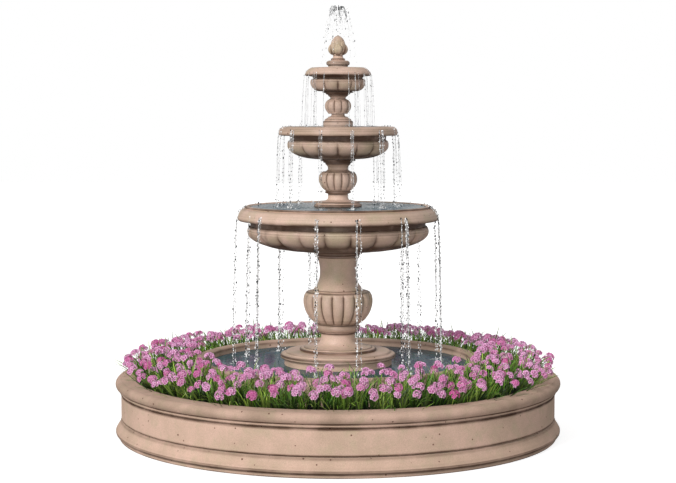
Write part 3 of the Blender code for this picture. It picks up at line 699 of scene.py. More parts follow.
# --- Middle pedestal and bowl ---------------------------------------------------------------
# The same two castings at a smaller size. The foot stands on the lower bowl's floor, and its
# plain drum reaches up through the water to a stepped disc.
bottom, top = heights("middle_foot")
turned(
    "middle_foot",
    [(0.078, top)]
    + arc((0.076, top - 0.0095), 0.013, 0.0088, 75.0, -70.0, 10)
    + eased(under(top, (0.0700, 0.0195), (0.0685, 0.023), (0.0685, 0.045), (0.073, 0.058)), 0.003)
    + eased(under(top, (0.088, 0.066), (0.110, 0.069), (0.145, 0.073), (0.150, 0.079), (0.150, 0.09)), 0.004)
    + arc((0.157, top - 0.1), 0.0068, 0.0095, 85.0, -85.0, 8)
    + [(0.150, top - 0.115), (0.150, bottom), (BORE, bottom), (BORE, top)],
    128,
    TIER_STONE,
)
bottom, top = heights("middle_baluster")
turned(
    "middle_baluster",
    eased(under(top, (0.117, 0.0), (0.1215, 0.003), (0.119, 0.009), (0.102, 0.012), (0.0995, 0.021)), 0.002)
    + eased(under(top, (0.087, 0.024), (0.0855, 0.033), (0.078, 0.039), (0.0710, 0.048)), 0.002)
    + smooth(under(top, (0.0685, 0.059), (0.0705, 0.069), (0.082, 0.079)), 5)
    + eased(under(top, (0.086, 0.0815), (0.104, 0.0825)), 0.002)
    + smooth(
        under(top, (0.113, 0.087), (0.127, 0.103), (0.1333, 0.129))
        + under(top, (0.130, 0.157), (0.119, 0.182), (0.102, 0.202)),
        7,
    )
    + [(0.090, top - 0.2105), (0.086, bottom), (BORE, bottom), (BORE, top)],
    14 * LOBE_SIDES,
    TIER_STONE,
    lobes=14,
    depth=0.017,
    bottom=top - 0.212,
    top=top - 0.0835,
    clear=0.05,
)
bottom, top = heights("middle_bowl")
MIDDLE_FLOOR = heights("upper_foot")[0] - 0.0003
bowl(
    "middle_bowl",
    smooth([(0.336, top - 0.003), (0.345, top), (0.370, top - 0.001), (0.387, top - 0.007)], 4)
    + smooth(
        under(top, (0.398, 0.015), (0.4045, 0.027), (0.4060, 0.04), (0.4050, 0.052), (0.4010, 0.0595)),
        4,
    )
    + eased(under(top, (0.396, 0.0615), (0.390, 0.0615)), 0.0025)
    + eased(under(top, (0.334, 0.0615), (0.330, 0.066), (0.328, 0.086), (0.330, 0.094)), 0.003)
    + smooth(under(top, (0.337, 0.0965), (0.344, 0.104), (0.3484, 0.118)), 5)
    + arc((0.130, top - 0.13), 0.2186, top - 0.13 - bottom, -2.0, -89.0, 24)
    + [(0.122, bottom + 0.001), (0.118, bottom), (BORE, bottom)],
    [(BORE, MIDDLE_FLOOR), (0.101, MIDDLE_FLOOR)]
    + smooth(under(top, (0.150, 0.2), (0.245, 0.175), (0.304, 0.121), (0.325, 0.056), (0.333, 0.011)), 6),
    16 * LOBE_SIDES,
    16,
    0.022,
    bottom - 0.006,
    top - 0.097,
)

# --- Upper pedestal and bowl ----------------------------------------------------------------
# The smallest tier, with a narrower bore for the reduced riser.
THIN_BORE = 0.0155
bottom, top = heights("upper_foot")
turned(
    "upper_foot",
    eased(under(top, (0.045, 0.0), (0.046, 0.012), (0.048, 0.0155), (0.066, 0.02)), 0.002)
    + eased(under(top, (0.070, 0.026), (0.078, 0.0305), (0.089, 0.0365), (0.0925, 0.046)), 0.003)
    + eased(under(top, (0.101, 0.05), (0.1025, 0.055), (0.1025, 0.08), (0.099, 0.088)), 0.003)
    + [(0.096, top - 0.096), (0.096, bottom), (BORE, bottom)]
    + under(top, (BORE, 0.192), (THIN_BORE, 0.172), (THIN_BORE, 0.0)),
    96,
    TIER_STONE,
)
bottom, top = heights("upper_baluster")
turned(
    "upper_baluster",
    eased(under(top, (0.104, 0.0), (0.1085, 0.002), (0.104, 0.0065), (0.085, 0.01), (0.081, 0.018)), 0.002)
    + eased(under(top, (0.069, 0.0215), (0.0665, 0.029)), 0.002)
    + smooth(under(top, (0.058, 0.035), (0.0525, 0.041), (0.0535, 0.047)), 4)
    + smooth(
        under(top, (0.061, 0.0525), (0.074, 0.059), (0.086, 0.0725))
        + under(top, (0.0921, 0.093), (0.089, 0.117), (0.077, 0.137)),
        6,
    )
    + [(0.068, top - 0.1465), (0.0655, bottom), (THIN_BORE, bottom), (THIN_BORE, top)],
    10 * LOBE_SIDES,
    TIER_STONE,
    lobes=10,
    depth=0.013,
    bottom=top - 0.148,
    top=top - 0.053,
    clear=0.035,
)
bottom, top = heights("upper_bowl")
UPPER_FLOOR = heights("finial_base")[0] - 0.0003
bowl(
    "upper_bowl",
    smooth(under(top, (0.160, 0.002), (0.168, 0.0), (0.186, 0.003), (0.203, 0.014), (0.215, 0.027)), 4)
    + smooth(under(top, (0.2220, 0.039), (0.2245, 0.048), (0.2225, 0.0545), (0.216, 0.057)), 4)
    + eased(under(top, (0.212, 0.057), (0.206, 0.057)), 0.002)
    + eased(under(top, (0.178, 0.0615), (0.170, 0.067), (0.168, 0.073), (0.170, 0.077)), 0.002)
    + smooth(under(top, (0.178, 0.0785), (0.186, 0.085), (0.1908, 0.096)), 4)
    + arc((0.126, top - 0.102), 0.065, 0.059, -3.0, -90.0, 18)
    + [(0.112, bottom + 0.001), (0.106, bottom), (THIN_BORE, bottom)],
    [(THIN_BORE, UPPER_FLOOR), (0.075, UPPER_FLOOR)]
    + smooth(under(top, (0.095, 0.134), (0.124, 0.117), (0.148, 0.077), (0.156, 0.012)), 5),
    12 * LOBE_SIDES,
    12,
    0.013,
    bottom - 0.004,
    top - 0.0795,
)

# --- Finial ---------------------------------------------------------------------------------
# A bud on a stepped stem, cast on a base that stands on the upper bowl's floor. Broad leaves
# clasp the lower half of the bud, and the nozzle's tip comes out at its top.
bottom, top = heights("finial_base")
turned(
    "finial_base",
    smooth(under(top, (0.034, 0.0), (0.033, 0.006), (0.037, 0.012), (0.044, 0.0165), (0.0485, 0.0205)), 4)
    + eased(under(top, (0.0490, 0.024), (0.0465, 0.0275), (0.0455, 0.0295)), 0.001)
    + smooth(under(top, (0.052, 0.03), (0.066, 0.0325), (0.0755, 0.038), (0.0800, 0.047), (0.0785, 0.056)), 4)
    + eased(
        under(top, (0.076, 0.0615), (0.068, 0.064), (0.067, 0.078), (0.062, 0.145), (0.070, top - bottom)),
        0.002,
    )
    + [(THIN_BORE, bottom), (THIN_BORE, top)],
    96,
    TIER_STONE,
)
bottom, top = heights("finial")


def clasping_leaf(bearing_deg, foot, tip, swell, half_deg, steps=8):
    """A pointed leaf as a closed lens: a bulging outer face, and an inner one inside the bud."""
    verts, faces = [], []
    for inner in (False, True):
        for i in range(steps + 1):
            t = i / steps
            width = math.radians(half_deg) * math.sqrt(max(1.0 - t**2.6, 0.0)) * (0.75 + 0.5 * t)
            z = foot + (tip - foot) * t
            bulge = 0.034 + 0.012 * t + swell * math.sin(math.pi * t**0.85) ** 0.8
            for j in range(steps + 1):
                u = 2.0 * j / steps - 1.0
                r = 0.028 if inner else bulge - 0.010 * u**4 - 0.0030 * (1.0 - min(1.0, abs(u) * 4.0))
                a = math.radians(bearing_deg) + u * width
                verts.append((r * math.sin(a), -r * math.cos(a), z))
    row, half = steps + 1, (steps + 1) ** 2
    for i in range(steps):
        for j in range(steps):
            k = i * row + j
            outer = (k, k + 1, k + row + 1, k + row)
            faces += [outer, tuple(half + corner for corner in (outer[0], outer[3], outer[2], outer[1]))]
    rim = list(range(row)) + [i * row + steps for i in range(1, row)]
    rim += [steps * row + j for j in range(steps - 1, -1, -1)] + [i * row for i in range(steps - 1, 0, -1)]
    faces += [(b, a, a + half, b + half) for a, b in zip(rim, rim[1:] + rim[:1])]
    # the leaf is darker along its edges and at its foot
    darker_edges_and_foot = []
    for k, (_, _, z) in enumerate(verts):
        u = 2.0 * (k % row) / steps - 1.0
        darker_edges_and_foot.append(min(1.0, 0.8 * u**6 + max(0.0, 1.0 - 5.0 * (z - foot) / (tip - foot))))
    return mesh_of("leaf", verts, [], faces, grime=darker_edges_and_foot)


bud = swept(
    smooth(
        under(top, (0.0100, 0.0), (0.018, 0.0035), (0.033, 0.017))
        + under(top, (0.044, 0.036), (0.0495, 0.058), (0.050, 0.08)),
        6,
    )
    + smooth(under(top, (0.045, 0.1), (0.038, 0.118), (0.0325, 0.128), (0.033, top - bottom)), 5)
    + [(THIN_BORE, bottom), (THIN_BORE, top - 0.1), (0.0100, top - 0.08), (0.0100, top)],
    96,
    TIER_STONE,
)
leaves = [joined([bud])]
leaves += [joined([clasping_leaf(90.0 * k, top - 0.131, top - 0.052, 0.029, 36.0)]) for k in range(4)]
leaves += [joined([clasping_leaf(90.0 * k + 45.0, top - 0.125, top - 0.03, 0.016, 32.0)]) for k in range(4)]
made = piece("finial_cast", merged("finial", leaves), TIER_STONE, 40.0)
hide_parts("finial")
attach(made, "root")

# --- Plumbing -------------------------------------------------------------------------------
# The CAD solids of the hidden metal parts stay as they are: brass fittings, cast and turned,
# and zinc-coated steel pipe, which dulls and shows soft spangles.
def metal(name, light, dark, patch_mm, roughness, metallic):
    """A worn metal in two tones, with its patches that many millimetres across and uneven gloss."""
    material, tree, shader = surface(name, Metallic=metallic)
    place = add(tree, "ShaderNodeTexCoord").outputs["Object"]
    patch = add(tree, "ShaderNodeTexNoise", {"Vector": place, "Scale": 1000.0 / patch_mm, "Detail": 4.0})
    tone = blended(tree, patch.outputs["Fac"], linear(light), linear(dark))
    tree.links.new(tone, shader.inputs["Base Color"])
    gloss = ranged(tree, patch.outputs["Fac"], To_Min=roughness - 0.1, To_Max=roughness + 0.12)
    tree.links.new(gloss, shader.inputs["Roughness"])
    embossed(tree, shader, patch.outputs["Fac"], 0.15, 0.0006)
    return material


# sand-cast brass, turned at its seats: dull gold that tarnishes brown in patches of about 11 mm
BRASS = metal("cast_brass", "#b08d4f", "#7a5c2e", 11.0, 0.38, 1.0)
# hot-dip galvanised steel: grey, with zinc spangles of about 16 mm
ZINC = metal("galvanised_steel", "#a9adb0", "#7f8487", 16.0, 0.45, 1.0)


def finish(nodes, material):
    """A CAD node keeps its shape and gets a finish."""
    for node in nodes:
        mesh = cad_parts[node].data
        mesh.materials.clear()
        mesh.materials.append(material)


finish(
    ["riser_coupling_lower", "riser_coupling_upper", "spray_nozzle", "outlet_fitting", "valve_body"]
    + ["drain_body", "drain_plug", "door_knob"],
    BRASS,
)
finish(["riser_lower", "riser_middle", "riser_upper", "valve_ball"], ZINC)


# --- Pump, seals and valve lever ------------------------------------------------------------
# The pump's shell, impeller and screen are moulded glass-filled nylon with a fine spark-eroded
# grain, its rails and the bowls' gaskets are black rubber, and the lever is dipped in vinyl.
def moulded(name, colour, roughness, grain_mm, relief):
    """A moulded plastic or rubber with its mould's grain, and lime dust in patches of 70 mm."""
    material, tree, shader = surface(name, IOR=1.52)
    place = add(tree, "ShaderNodeTexCoord").outputs["Object"]
    grain = add(tree, "ShaderNodeTexNoise", {"Vector": place, "Scale": 1000.0 / grain_mm, "Detail": 2.0})
    dust = add(tree, "ShaderNodeTexNoise", {"Vector": place, "Scale": 14.0, "Detail": 5.0})
    film = ranged(tree, dust.outputs["Fac"], From_Min=0.45, From_Max=0.8, To_Max=0.35)
    tone = blended(tree, film, linear(colour), linear("#8b8173"))
    tree.links.new(tone, shader.inputs["Base Color"])
    gloss = ranged(tree, grain.outputs["Fac"], To_Min=roughness - 0.06, To_Max=roughness + 0.1)
    tree.links.new(gloss, shader.inputs["Roughness"])
    embossed(tree, shader, grain.outputs["Fac"], relief, 0.0004)
    return material


# glass-filled nylon from a spark-eroded mould: near black and satin, with a grain of about 1 mm
NYLON = moulded("spark_eroded_nylon", "#1d2226", 0.48, 1.1, 0.3)
# compression-moulded rubber: black and matt, with a bloom of about 2 mm
RUBBER = moulded("black_rubber", "#17181a", 0.75, 2.0, 0.2)
# dipped vinyl: deep red and smooth, with slow sags of about 8 mm
VINYL = moulded("dipped_vinyl", "#8e1a1c", 0.35, 8.0, 0.1)
finish(["pump_housing", "pump_cover", "impeller", "intake_screen", "pump_base", "cable_gland"], NYLON)
finish(["lower_bowl_gasket", "middle_bowl_gasket", "upper_bowl_gasket", "drain_seal"], RUBBER)
finish(["pump_foot_left", "pump_foot_right"], RUBBER)
finish(["valve_lever"], VINYL)
finish(["pool_floor_slab"], STONE)


# --- Gravel and soil in the trough ----------------------------------------------------------
# A drainage layer of washed gravel under a bark compost, which shows dark between the leaves.
def loose_fill(name, light, dark, grain_mm, relief):
    """Loose chips of one size, each in its own tone between two."""
    material, tree, shader = surface(name, Roughness=0.95)
    place = add(tree, "ShaderNodeTexCoord").outputs["Object"]
    chips = add(tree, "ShaderNodeTexVoronoi", {"Vector": place, "Scale": 1000.0 / grain_mm})
    parts = add(tree, "ShaderNodeSeparateColor", {"Color": chips.outputs["Color"]})
    tone = blended(tree, parts.outputs[0], linear(light), linear(dark))
    tree.links.new(tone, shader.inputs["Base Color"])
    embossed(tree, shader, chips.outputs["Distance"], relief, grain_mm / 2000.0)
    return material


# washed 14 mm gravel, grey-buff, and composted bark in damp dark chips of about 9 mm
finish(["drainage_gravel"], loose_fill("washed_gravel", "#a79c8c", "#6f6659", 14.0, 0.9))
finish(["planting_soil"], loose_fill("bark_compost", "#3a2a1e", "#1a120c", 9.0, 1.0))


# --- Bedding plants -------------------------------------------------------------------------
# Tufts of arching strap leaves, and low domed heads of small pink florets on thin stems. Each
# of the twelve clumps is set out at random on its share of the trough.
def leaf_green(name, base, tip):
    """Leaves: near black at the foot with painted shade, lighter to the tip, each tuft a little different,
    and some with a painted yellow-green highlight towards the tip.
    """
    material, tree, shader = surface(name, Roughness=0.42, IOR=1.45)
    along = marked_value(tree, "along")
    tint = marked_value(tree, "tint")
    # painted shade: the leaves are darkened towards their foot, where the tufts shade one another
    higher = maths(tree, "POWER", along, 2.3)
    ramp = blended(tree, higher, linear(base), linear(tip))
    # a painted yellow-green highlight towards the tips of some tufts
    some = maths(tree, "POWER", tint, 3.0)
    tip_highlight = maths(tree, "MULTIPLY", some, along)
    varied = blended(tree, tip_highlight, ramp, linear("#bcd860"))
    tree.links.new(varied, shader.inputs["Base Color"])
    return material


def petal_pink(name, heart, edge, deep):
    """Petals: a deep heart, a pale edge, and each head a little different."""
    material, tree, shader = surface(name, Roughness=0.6)
    along = marked_value(tree, "along")
    tint = marked_value(tree, "tint")
    ramp = blended(tree, along, linear(heart), linear(edge))
    some = maths(tree, "POWER", tint, 2.5)
    some = maths(tree, "MULTIPLY", some, 0.8)
    varied = blended(tree, some, ramp, linear(deep))
    tree.links.new(varied, shader.inputs["Base Color"])
    return material


# strap leaves: waxy, so a soft sheen, painted near black at the foot for the shade there, and bright at the
# tip
LEAVES = leaf_green("strap_leaves", "#030a02", "#70b232")
# petals: matt and thin, magenta at the heart and nearly white at the edge
PETALS = petal_pink("pink_petals", "#921c68", "#ffccf3", "#bd3888")
# flower stalks: the same green, with the same painted shade and highlight, but paler at the foot than the
# leaves
STEMS = leaf_green("flower_stems", "#1c3a0c", "#567f2c")


def guide_of(name, verts, faces, along):
    """An unseen object to be copied, with how far each point is along its leaf or petal."""
    return bpy.data.objects.new(name, mesh_of(name, verts, [], faces, along=along))


def leaf_tuft(name, blades, length, spread, seed, broad=0.0054):
    """A few strap leaves from one root. Each rises, arches over and narrows to its tip."""
    chance = np.random.default_rng(seed)
    verts, faces, along = [], [], []
    steps = 5
    for blade in range(blades):
        turn = math.tau * (blade + chance.uniform(-0.35, 0.35)) / blades
        size = length * chance.uniform(0.6, 1.15)
        lean = spread * chance.uniform(0.3, 1.5)
        pale = chance.uniform(0.55, 1.15)
        first = len(verts)
        reach_out, up, tilt = 0.008, 0.0, math.radians(86.0)
        for i in range(steps + 1):
            t = i / steps
            width = broad * (1.0 - t**2.2) + 0.0006
            for side in (-1.0, 1.0):
                verts.append(
                    (
                        reach_out * math.cos(turn) - side * width * math.sin(turn),
                        reach_out * math.sin(turn) + side * width * math.cos(turn),
                        up,
                    )
                )
                along.append(t * pale)
            reach_out += math.cos(tilt) * size / steps
            up += math.sin(tilt) * size / steps
            tilt -= lean * (0.35 + t)
        faces += [tuple(first + 2 * i + corner for corner in (0, 1, 3, 2)) for i in range(steps)]
    return guide_of(name, verts, faces, along)


def flower_head(name, florets, width, seed):
    """A domed cluster of five-petalled florets, set out on a golden-angle spiral."""
    chance = np.random.default_rng(seed)
    verts, faces, along = [], [], []
    for k in range(florets):
        out = math.sqrt((k + 0.5) / florets)
        turn = k * math.pi * (3.0 - math.sqrt(5.0)) + chance.uniform(-0.2, 0.2)
        lean = out * math.radians(86.0)
        normal = Vector((math.sin(lean) * math.cos(turn), math.sin(lean) * math.sin(turn), math.cos(lean)))
        centre = Vector((normal.x * width, normal.y * width, (normal.z - 0.55) * width * 0.8))
        across = normal.cross(Vector((math.sin(turn), -math.cos(turn), 0.2))).normalized()
        other = normal.cross(across)
        size = 0.0126 * chance.uniform(0.85, 1.15)
        spin = chance.uniform(0.0, math.tau)
        first = len(verts)
        verts.append(tuple(centre - normal * 0.004))
        along.append(0.0)
        for petal in range(5):
            for step, reach_out, lift in ((-0.52, 0.86, 0.0030), (0.0, 1.06, 0.0005), (0.52, 0.86, 0.0030)):
                a = spin + math.tau * petal / 5.0 + step
                point = centre + (across * math.cos(a) + other * math.sin(a)) * size * reach_out
                verts.append(tuple(point + normal * lift))
                along.append(0.65 if step else 1.0)
            ring = first + 1 + 3 * petal
            faces.append((first, ring, ring + 1, ring + 2))
    return guide_of(name, verts, faces, along)


def flower_stem(name, length):
    """A thin three-sided stalk that hangs from the underside of a head, slightly bowed."""
    verts, faces, along = [], [], []
    for level, bow in ((0.004, 0.0), (-0.5 * length, 0.006), (-length, 0.0)):
        for corner in range(3):
            a = math.tau * corner / 3.0
            verts.append((bow + 0.0016 * math.cos(a), 0.0016 * math.sin(a), level))
            along.append(1.0 + level / length)
    for i in (0, 3):
        faces += [(i + k, i + 3 + k, i + 3 + (k + 1) % 3, i + (k + 1) % 3) for k in range(3)]
    return guide_of(name, verts, faces, along)


def random_float(tree, low, high, seed):
    """A number drawn afresh for each point."""
    ends = {2: low, 3: high, "Seed": seed}
    return add(tree, "FunctionNodeRandomValue", ends, data_type="FLOAT").outputs[1]


# Copies of one plant are scattered over a bed, each turned, leaned, sized and tinted at random.
planting = bpy.data.node_groups.new("planting", "GeometryNodeTree")
given = sockets(
    planting,
    Geometry="Geometry",
    Plant="Object",
    Spacing="Float",
    Smallest="Float",
    Largest="Float",
    Rise="Float",
    Lean="Float",
    Edge_Radius="Float",
    Seed="Int",
    Finish="Material",
)
spots = add(
    planting,
    "GeometryNodeDistributePointsOnFaces",
    {
        "Mesh": given["Geometry"],
        "Distance Min": given["Spacing"],
        "Density Max": 9000.0,
        "Seed": given["Seed"],
    },
    distribute_method="POISSON",
).outputs["Points"]
rise = random_float(planting, 0.0, given["Rise"], 3)
lift = add(planting, "ShaderNodeCombineXYZ", {"Z": rise}).outputs[0]
spots = add(planting, "GeometryNodeSetPosition", {"Geometry": spots, "Offset": lift}).outputs[0]
# Plants at the trough's outer edge hang out over the coping.
where = add(planting, "GeometryNodeInputPosition").outputs[0]
level = add(planting, "ShaderNodeVectorMath", {0: where, 1: (1.0, 1.0, 0.0)}, operation="MULTIPLY").outputs[0]
away = add(planting, "ShaderNodeVectorMath", {0: level}, operation="NORMALIZE").outputs[0]
distance = add(planting, "ShaderNodeVectorMath", {0: level}, operation="LENGTH").outputs["Value"]
inner = maths(planting, "SUBTRACT", given["Edge Radius"], 0.22)
outwards = ranged(
    planting, distance, From_Min=inner, From_Max=given["Edge Radius"], To_Min=0.0, To_Max=given["Lean"]
)
pull = add(planting, "ShaderNodeVectorMath", {0: away, "Scale": outwards}, operation="SCALE").outputs[0]
sway = add(
    planting,
    "FunctionNodeRandomValue",
    {0: (-0.28, -0.28, 1.0), 1: (0.28, 0.28, 1.0), "Seed": 11},
    data_type="FLOAT_VECTOR",
).outputs[0]
stand = add(planting, "ShaderNodeVectorMath", {0: sway, 1: pull}, operation="ADD").outputs[0]
upright = add(planting, "FunctionNodeAlignRotationToVector", {"Vector": stand}, axis="Z").outputs[0]
spin = random_float(planting, 0.0, math.tau, 5)
about = add(planting, "FunctionNodeAxisAngleToRotation", {"Axis": (0.0, 0.0, 1.0), "Angle": spin}).outputs[0]
turned_about = add(
    planting, "FunctionNodeRotateRotation", {0: upright, 1: about}, rotation_space="LOCAL"
).outputs[0]
size = random_float(planting, given["Smallest"], given["Largest"], 7)
plant = add(planting, "GeometryNodeObjectInfo", {"Object": given["Plant"]}).outputs["Geometry"]
copies = add(
    planting,
    "GeometryNodeInstanceOnPoints",
    {"Points": spots, "Instance": plant, "Rotation": turned_about, "Scale": size},
).outputs[0]
shade = random_float(planting, 0.0, 1.0, 9)
shaded = add(
    planting,
    "GeometryNodeStoreNamedAttribute",
    {"Geometry": copies, "Name": "tint", "Value": shade},
    data_type="FLOAT",
    domain="INSTANCE",
).outputs[0]
ended(planting, shaded, given["Finish"])


def sector(line, start, sweep, steps=10):
    """A line of (radius, height) points swept round part of the trough, as a guide object."""
    verts, faces = [], []
    for i in range(steps + 1):
        angle = start + sweep * i / steps
        verts += [(r * math.cos(angle), r * math.sin(angle), z) for r, z in line]
    count = len(line)
    for i in range(steps):
        faces += [
            (i * count + k, (i + 1) * count + k, (i + 1) * count + k + 1, i * count + k + 1)
            for k in range(count - 1)
        ]
    return placed("bed", mesh_of("bed", verts, [], faces))


def grown(bed, plant, seed, material, **values):
    """One plant's copies over a bed, as a mesh. The bed is removed."""
    apply_tree(bed, planting, Plant=plant, Seed=seed, Edge_Radius=TROUGH_OUT, Finish=material, **values)
    return baked(bed)


SOIL_TOP = heights("planting_soil")[1]
TROUGH_IN = reach("pool_ring") + 0.012
TROUGH_OUT = reach("planting_soil") - 0.012
# The full tufts root clear of the trough's wall, and the straggling ones right against it.
ROOT_GAP, EDGE_STRIP = 0.025, 0.035
soil_line = [(TROUGH_IN, SOIL_TOP), (TROUGH_OUT - ROOT_GAP, SOIL_TOP)]
edge_line = [(TROUGH_OUT - EDGE_STRIP, SOIL_TOP), (TROUGH_OUT, SOIL_TOP)]
# The heads make a low bank: lowest at the outer edge, highest over the middle of the trough.
head_line = [(1.465, 0.468), (1.415, 0.480), (1.360, 0.492), (1.300, 0.508), (1.210, 0.530)]
head_line += [(1.110, 0.552), (1.015, 0.550)]
# Each tuft comes with its line, its spacing and how far it leans out at the edge. Beside the full
# tufts, thin old blades straggle out over the coping.
tufts = (
    (leaf_tuft("tuft_arching", 6, 0.295, 0.46, 21), soil_line, 0.055, 0.55),
    (leaf_tuft("tuft_upright", 5, 0.250, 0.24, 22), soil_line, 0.055, 0.40),
    (leaf_tuft("tuft_straggling", 4, 0.250, 0.30, 23, 0.0028), edge_line, 0.190, 1.6),
)
heads = [flower_head("head_full", 13, 0.0275, 31), flower_head("head_small", 9, 0.0215, 32)]
stem = flower_stem("stem", 0.15)
HEAD_SPACINGS = (0.102, 0.134)
LEAF_GROWTH = {"Smallest": 0.65, "Largest": 1.04, "Rise": 0.0}
# The outermost heads hang out over the coping. A stem's seed and growth are its head's.
HEAD_GROWTH = {"Smallest": 0.85, "Largest": 1.15, "Rise": 0.075, "Lean": 0.8}
beds = sorted(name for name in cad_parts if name.startswith("flower_bed_"))
share = math.tau / len(beds)


def on_heads(plants, seed, start, material):
    """The two sizes of head, or their stems, over one share of the trough."""
    made = []
    for k, (plant, spacing) in enumerate(zip(plants, HEAD_SPACINGS)):
        bed = sector(head_line, start, share)
        made.append(grown(bed, plant, seed + k, material, Spacing=spacing, **HEAD_GROWTH))
    return made


for index, node in enumerate(beds):
    start = index * share
    seed = 100 + 10 * index
    leaves = []
    for k, (tuft, line, spacing, lean) in enumerate(tufts):
        bed = sector(line, start, share)
        leaves.append(grown(bed, tuft, seed + k, LEAVES, Spacing=spacing, Lean=lean, **LEAF_GROWTH))
    blooms = on_heads(heads, seed + 5, start, PETALS)
    stalks = on_heads((stem, stem), seed + 5, start, STEMS)
    for label, meshes, material in (
        ("leaves", leaves, LEAVES),
        ("blooms", blooms, PETALS),
        ("stems", stalks, STEMS),
    ):
        made = piece(f"{label}_{index + 1:02d}", merged(label, meshes), material, 180.0)
        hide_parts(node)
        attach(made, "root")


# --- Still water ----------------------------------------------------------------------------
# Water stands in the pool and brims in each bowl. Rings run out from where each thread lands,
# and a patch of bubbles whitens the spot.
def water_finish(name, deep, clear):
    """Still water: glossy, blue-grey over the dark cast floor, drifting to green in slow patches."""
    material, tree, shader = surface(name, Roughness=0.05, IOR=1.08)
    place = add(tree, "ShaderNodeTexCoord").outputs["Object"]
    # slow drifts of tone, about 200 mm across
    drift = add(tree, "ShaderNodeTexNoise", {"Vector": place, "Scale": 5.0, "Detail": 3.0})
    tone = blended(tree, drift.outputs["Fac"], linear(deep), linear(clear))
    foam = marked_value(tree, "foam")
    # bubbles in clusters of about 18 mm, which whiten the spot where a thread lands
    bubbles = add(tree, "ShaderNodeTexNoise", {"Vector": place, "Scale": 55.0, "Detail": 2.0})
    broken = ranged(tree, bubbles.outputs["Fac"], From_Min=0.48, From_Max=0.62)
    white = maths(tree, "MULTIPLY", foam, broken)
    whole = blended(tree, white, tone, linear("#eef3f6"))
    tree.links.new(whole, shader.inputs["Base Color"])
    # small wind ripples, about 38 mm from crest to crest
    ripple = add(tree, "ShaderNodeTexNoise", {"Vector": place, "Scale": 26.0, "Detail": 2.0})
    embossed(tree, shader, ripple.outputs["Fac"], 0.12, 0.01)
    return material


POND = water_finish("pool_water", "#2f4163", "#42625a")


FOAM_REACH = 0.018  # how far the bubbles spread from a landing thread
RING_STEP, RING_REACH, RING_HEIGHT = 0.042, 0.11, 0.0011


def pond(name, inner, outer, level, landings, around, across):
    """A sheet of water between two radii, with the rings that the landing threads send out."""
    bm = bmesh.new()
    bmesh.ops.create_grid(bm, x_segments=around, y_segments=across, size=0.5)
    spread = []
    for vert in bm.verts:
        angle = (vert.co.x + 0.5) * math.tau
        r = inner + (outer - inner) * (vert.co.y + 0.5)
        vert.co = (r * math.cos(angle), r * math.sin(angle), level)
        away = [math.hypot(vert.co.x - x, vert.co.y - y) for x, y in landings]
        near = sum(math.exp(-d / FOAM_REACH) for d in away)
        rings = sum(math.cos(d * math.tau / RING_STEP) * math.exp(-d / RING_REACH) for d in away)
        vert.co.z += RING_HEIGHT * max(-3.0, min(3.0, rings))
        spread.append(min(1.0, near))
    mesh = bpy.data.meshes.new(name)
    bm.to_mesh(mesh)
    bm.free()
    mesh.attributes.new("foam", "FLOAT", "POINT").data.foreach_set("value", spread)
    bm = bmesh.new()
    bm.from_mesh(mesh)
    bmesh.ops.remove_doubles(bm, verts=bm.verts, dist=0.00005)
    bmesh.ops.recalc_face_normals(bm, faces=bm.faces)
    if sum(face.normal.z for face in bm.faces) < 0.0:
        bmesh.ops.reverse_faces(bm, faces=bm.faces)
    bm.to_mesh(mesh)
    bm.free()
    made = piece(name, mesh, POND, 180.0)
    depth = made.modifiers.new("depth", "SOLIDIFY")
    depth.thickness = 0.012
    depth.offset = -1.0
    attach(made, "root")


# --- Falling water --------------------------------------------------------------------------
# Thin threads run over each rim, stretch as they fall and break into strings of drops. The
# bearings are in degrees from the front, to the right, each with its number of strands.
FALLS = {
    "lower": [(-90, 3), (-59, 2), (-49, 7), (-12, 4), (11, 4), (37, 2), (41, 6), (80, 3), (93, 3)]
    + [(104, 3), (125, 2), (139, 3), (171, 3), (-144, 6), (-117, 3), (-164, 3)],
    "middle": [(-82, 3), (-70, 2), (-49, 6), (-16, 3), (12, 4), (45, 7), (70, 2), (86, 3)]
    + [(112, 4), (141, 5), (170, 3), (-142, 4), (-114, 3)],
    "upper": [(-90, 2), (-60, 2), (-43, 3), (-24, 2), (18, 2), (34, 3), (53, 3), (72, 2), (92, 2)]
    + [(120, 2), (150, 3), (-170, 2), (-137, 3), (-112, 2)],
}
GRAVITY = 9.81
BUNCH_WIDTH = 0.042  # three strands or more are spread over this much of the rim
# clear water in drops, its glints painted in: mostly painted white glints, and some painted
# dark drops that stand for the background seen bent through them
DROP_WATER, tree, shader = surface("falling_water", Roughness=0.04, IOR=1.333)
shader.inputs["Transmission Weight"].default_value = 0.15
tint = marked_value(tree, "tint")
glint = ranged(tree, tint, From_Min=0.46, From_Max=0.64)
tone = blended(tree, glint, linear("#ffffff"), linear("#2b2f33"))
tree.links.new(tone, shader.inputs["Base Color"])

threads = bpy.data.node_groups.new("water_threads", "GeometryNodeTree")
given = sockets(
    threads,
    Geometry="Geometry",
    Drop_Spacing="Float",
    Drop_Radius="Float",
    Scatter="Float",
    Thread_Radius="Float",
    Thread_End="Float",
    Thread_Tone="Float",
    Seed="Int",
    Finish="Material",
)
course = add(threads, "GeometryNodeMeshToCurve", {0: given["Geometry"]}).outputs[0]
fraction = add(threads, "GeometryNodeSplineParameter").outputs["Factor"]
evenly = add(
    threads, "GeometryNodeResampleCurve", {"Curve": course, "Length": 0.02}, mode="LENGTH"
).outputs[0]
place = add(threads, "GeometryNodeInputPosition").outputs[0]
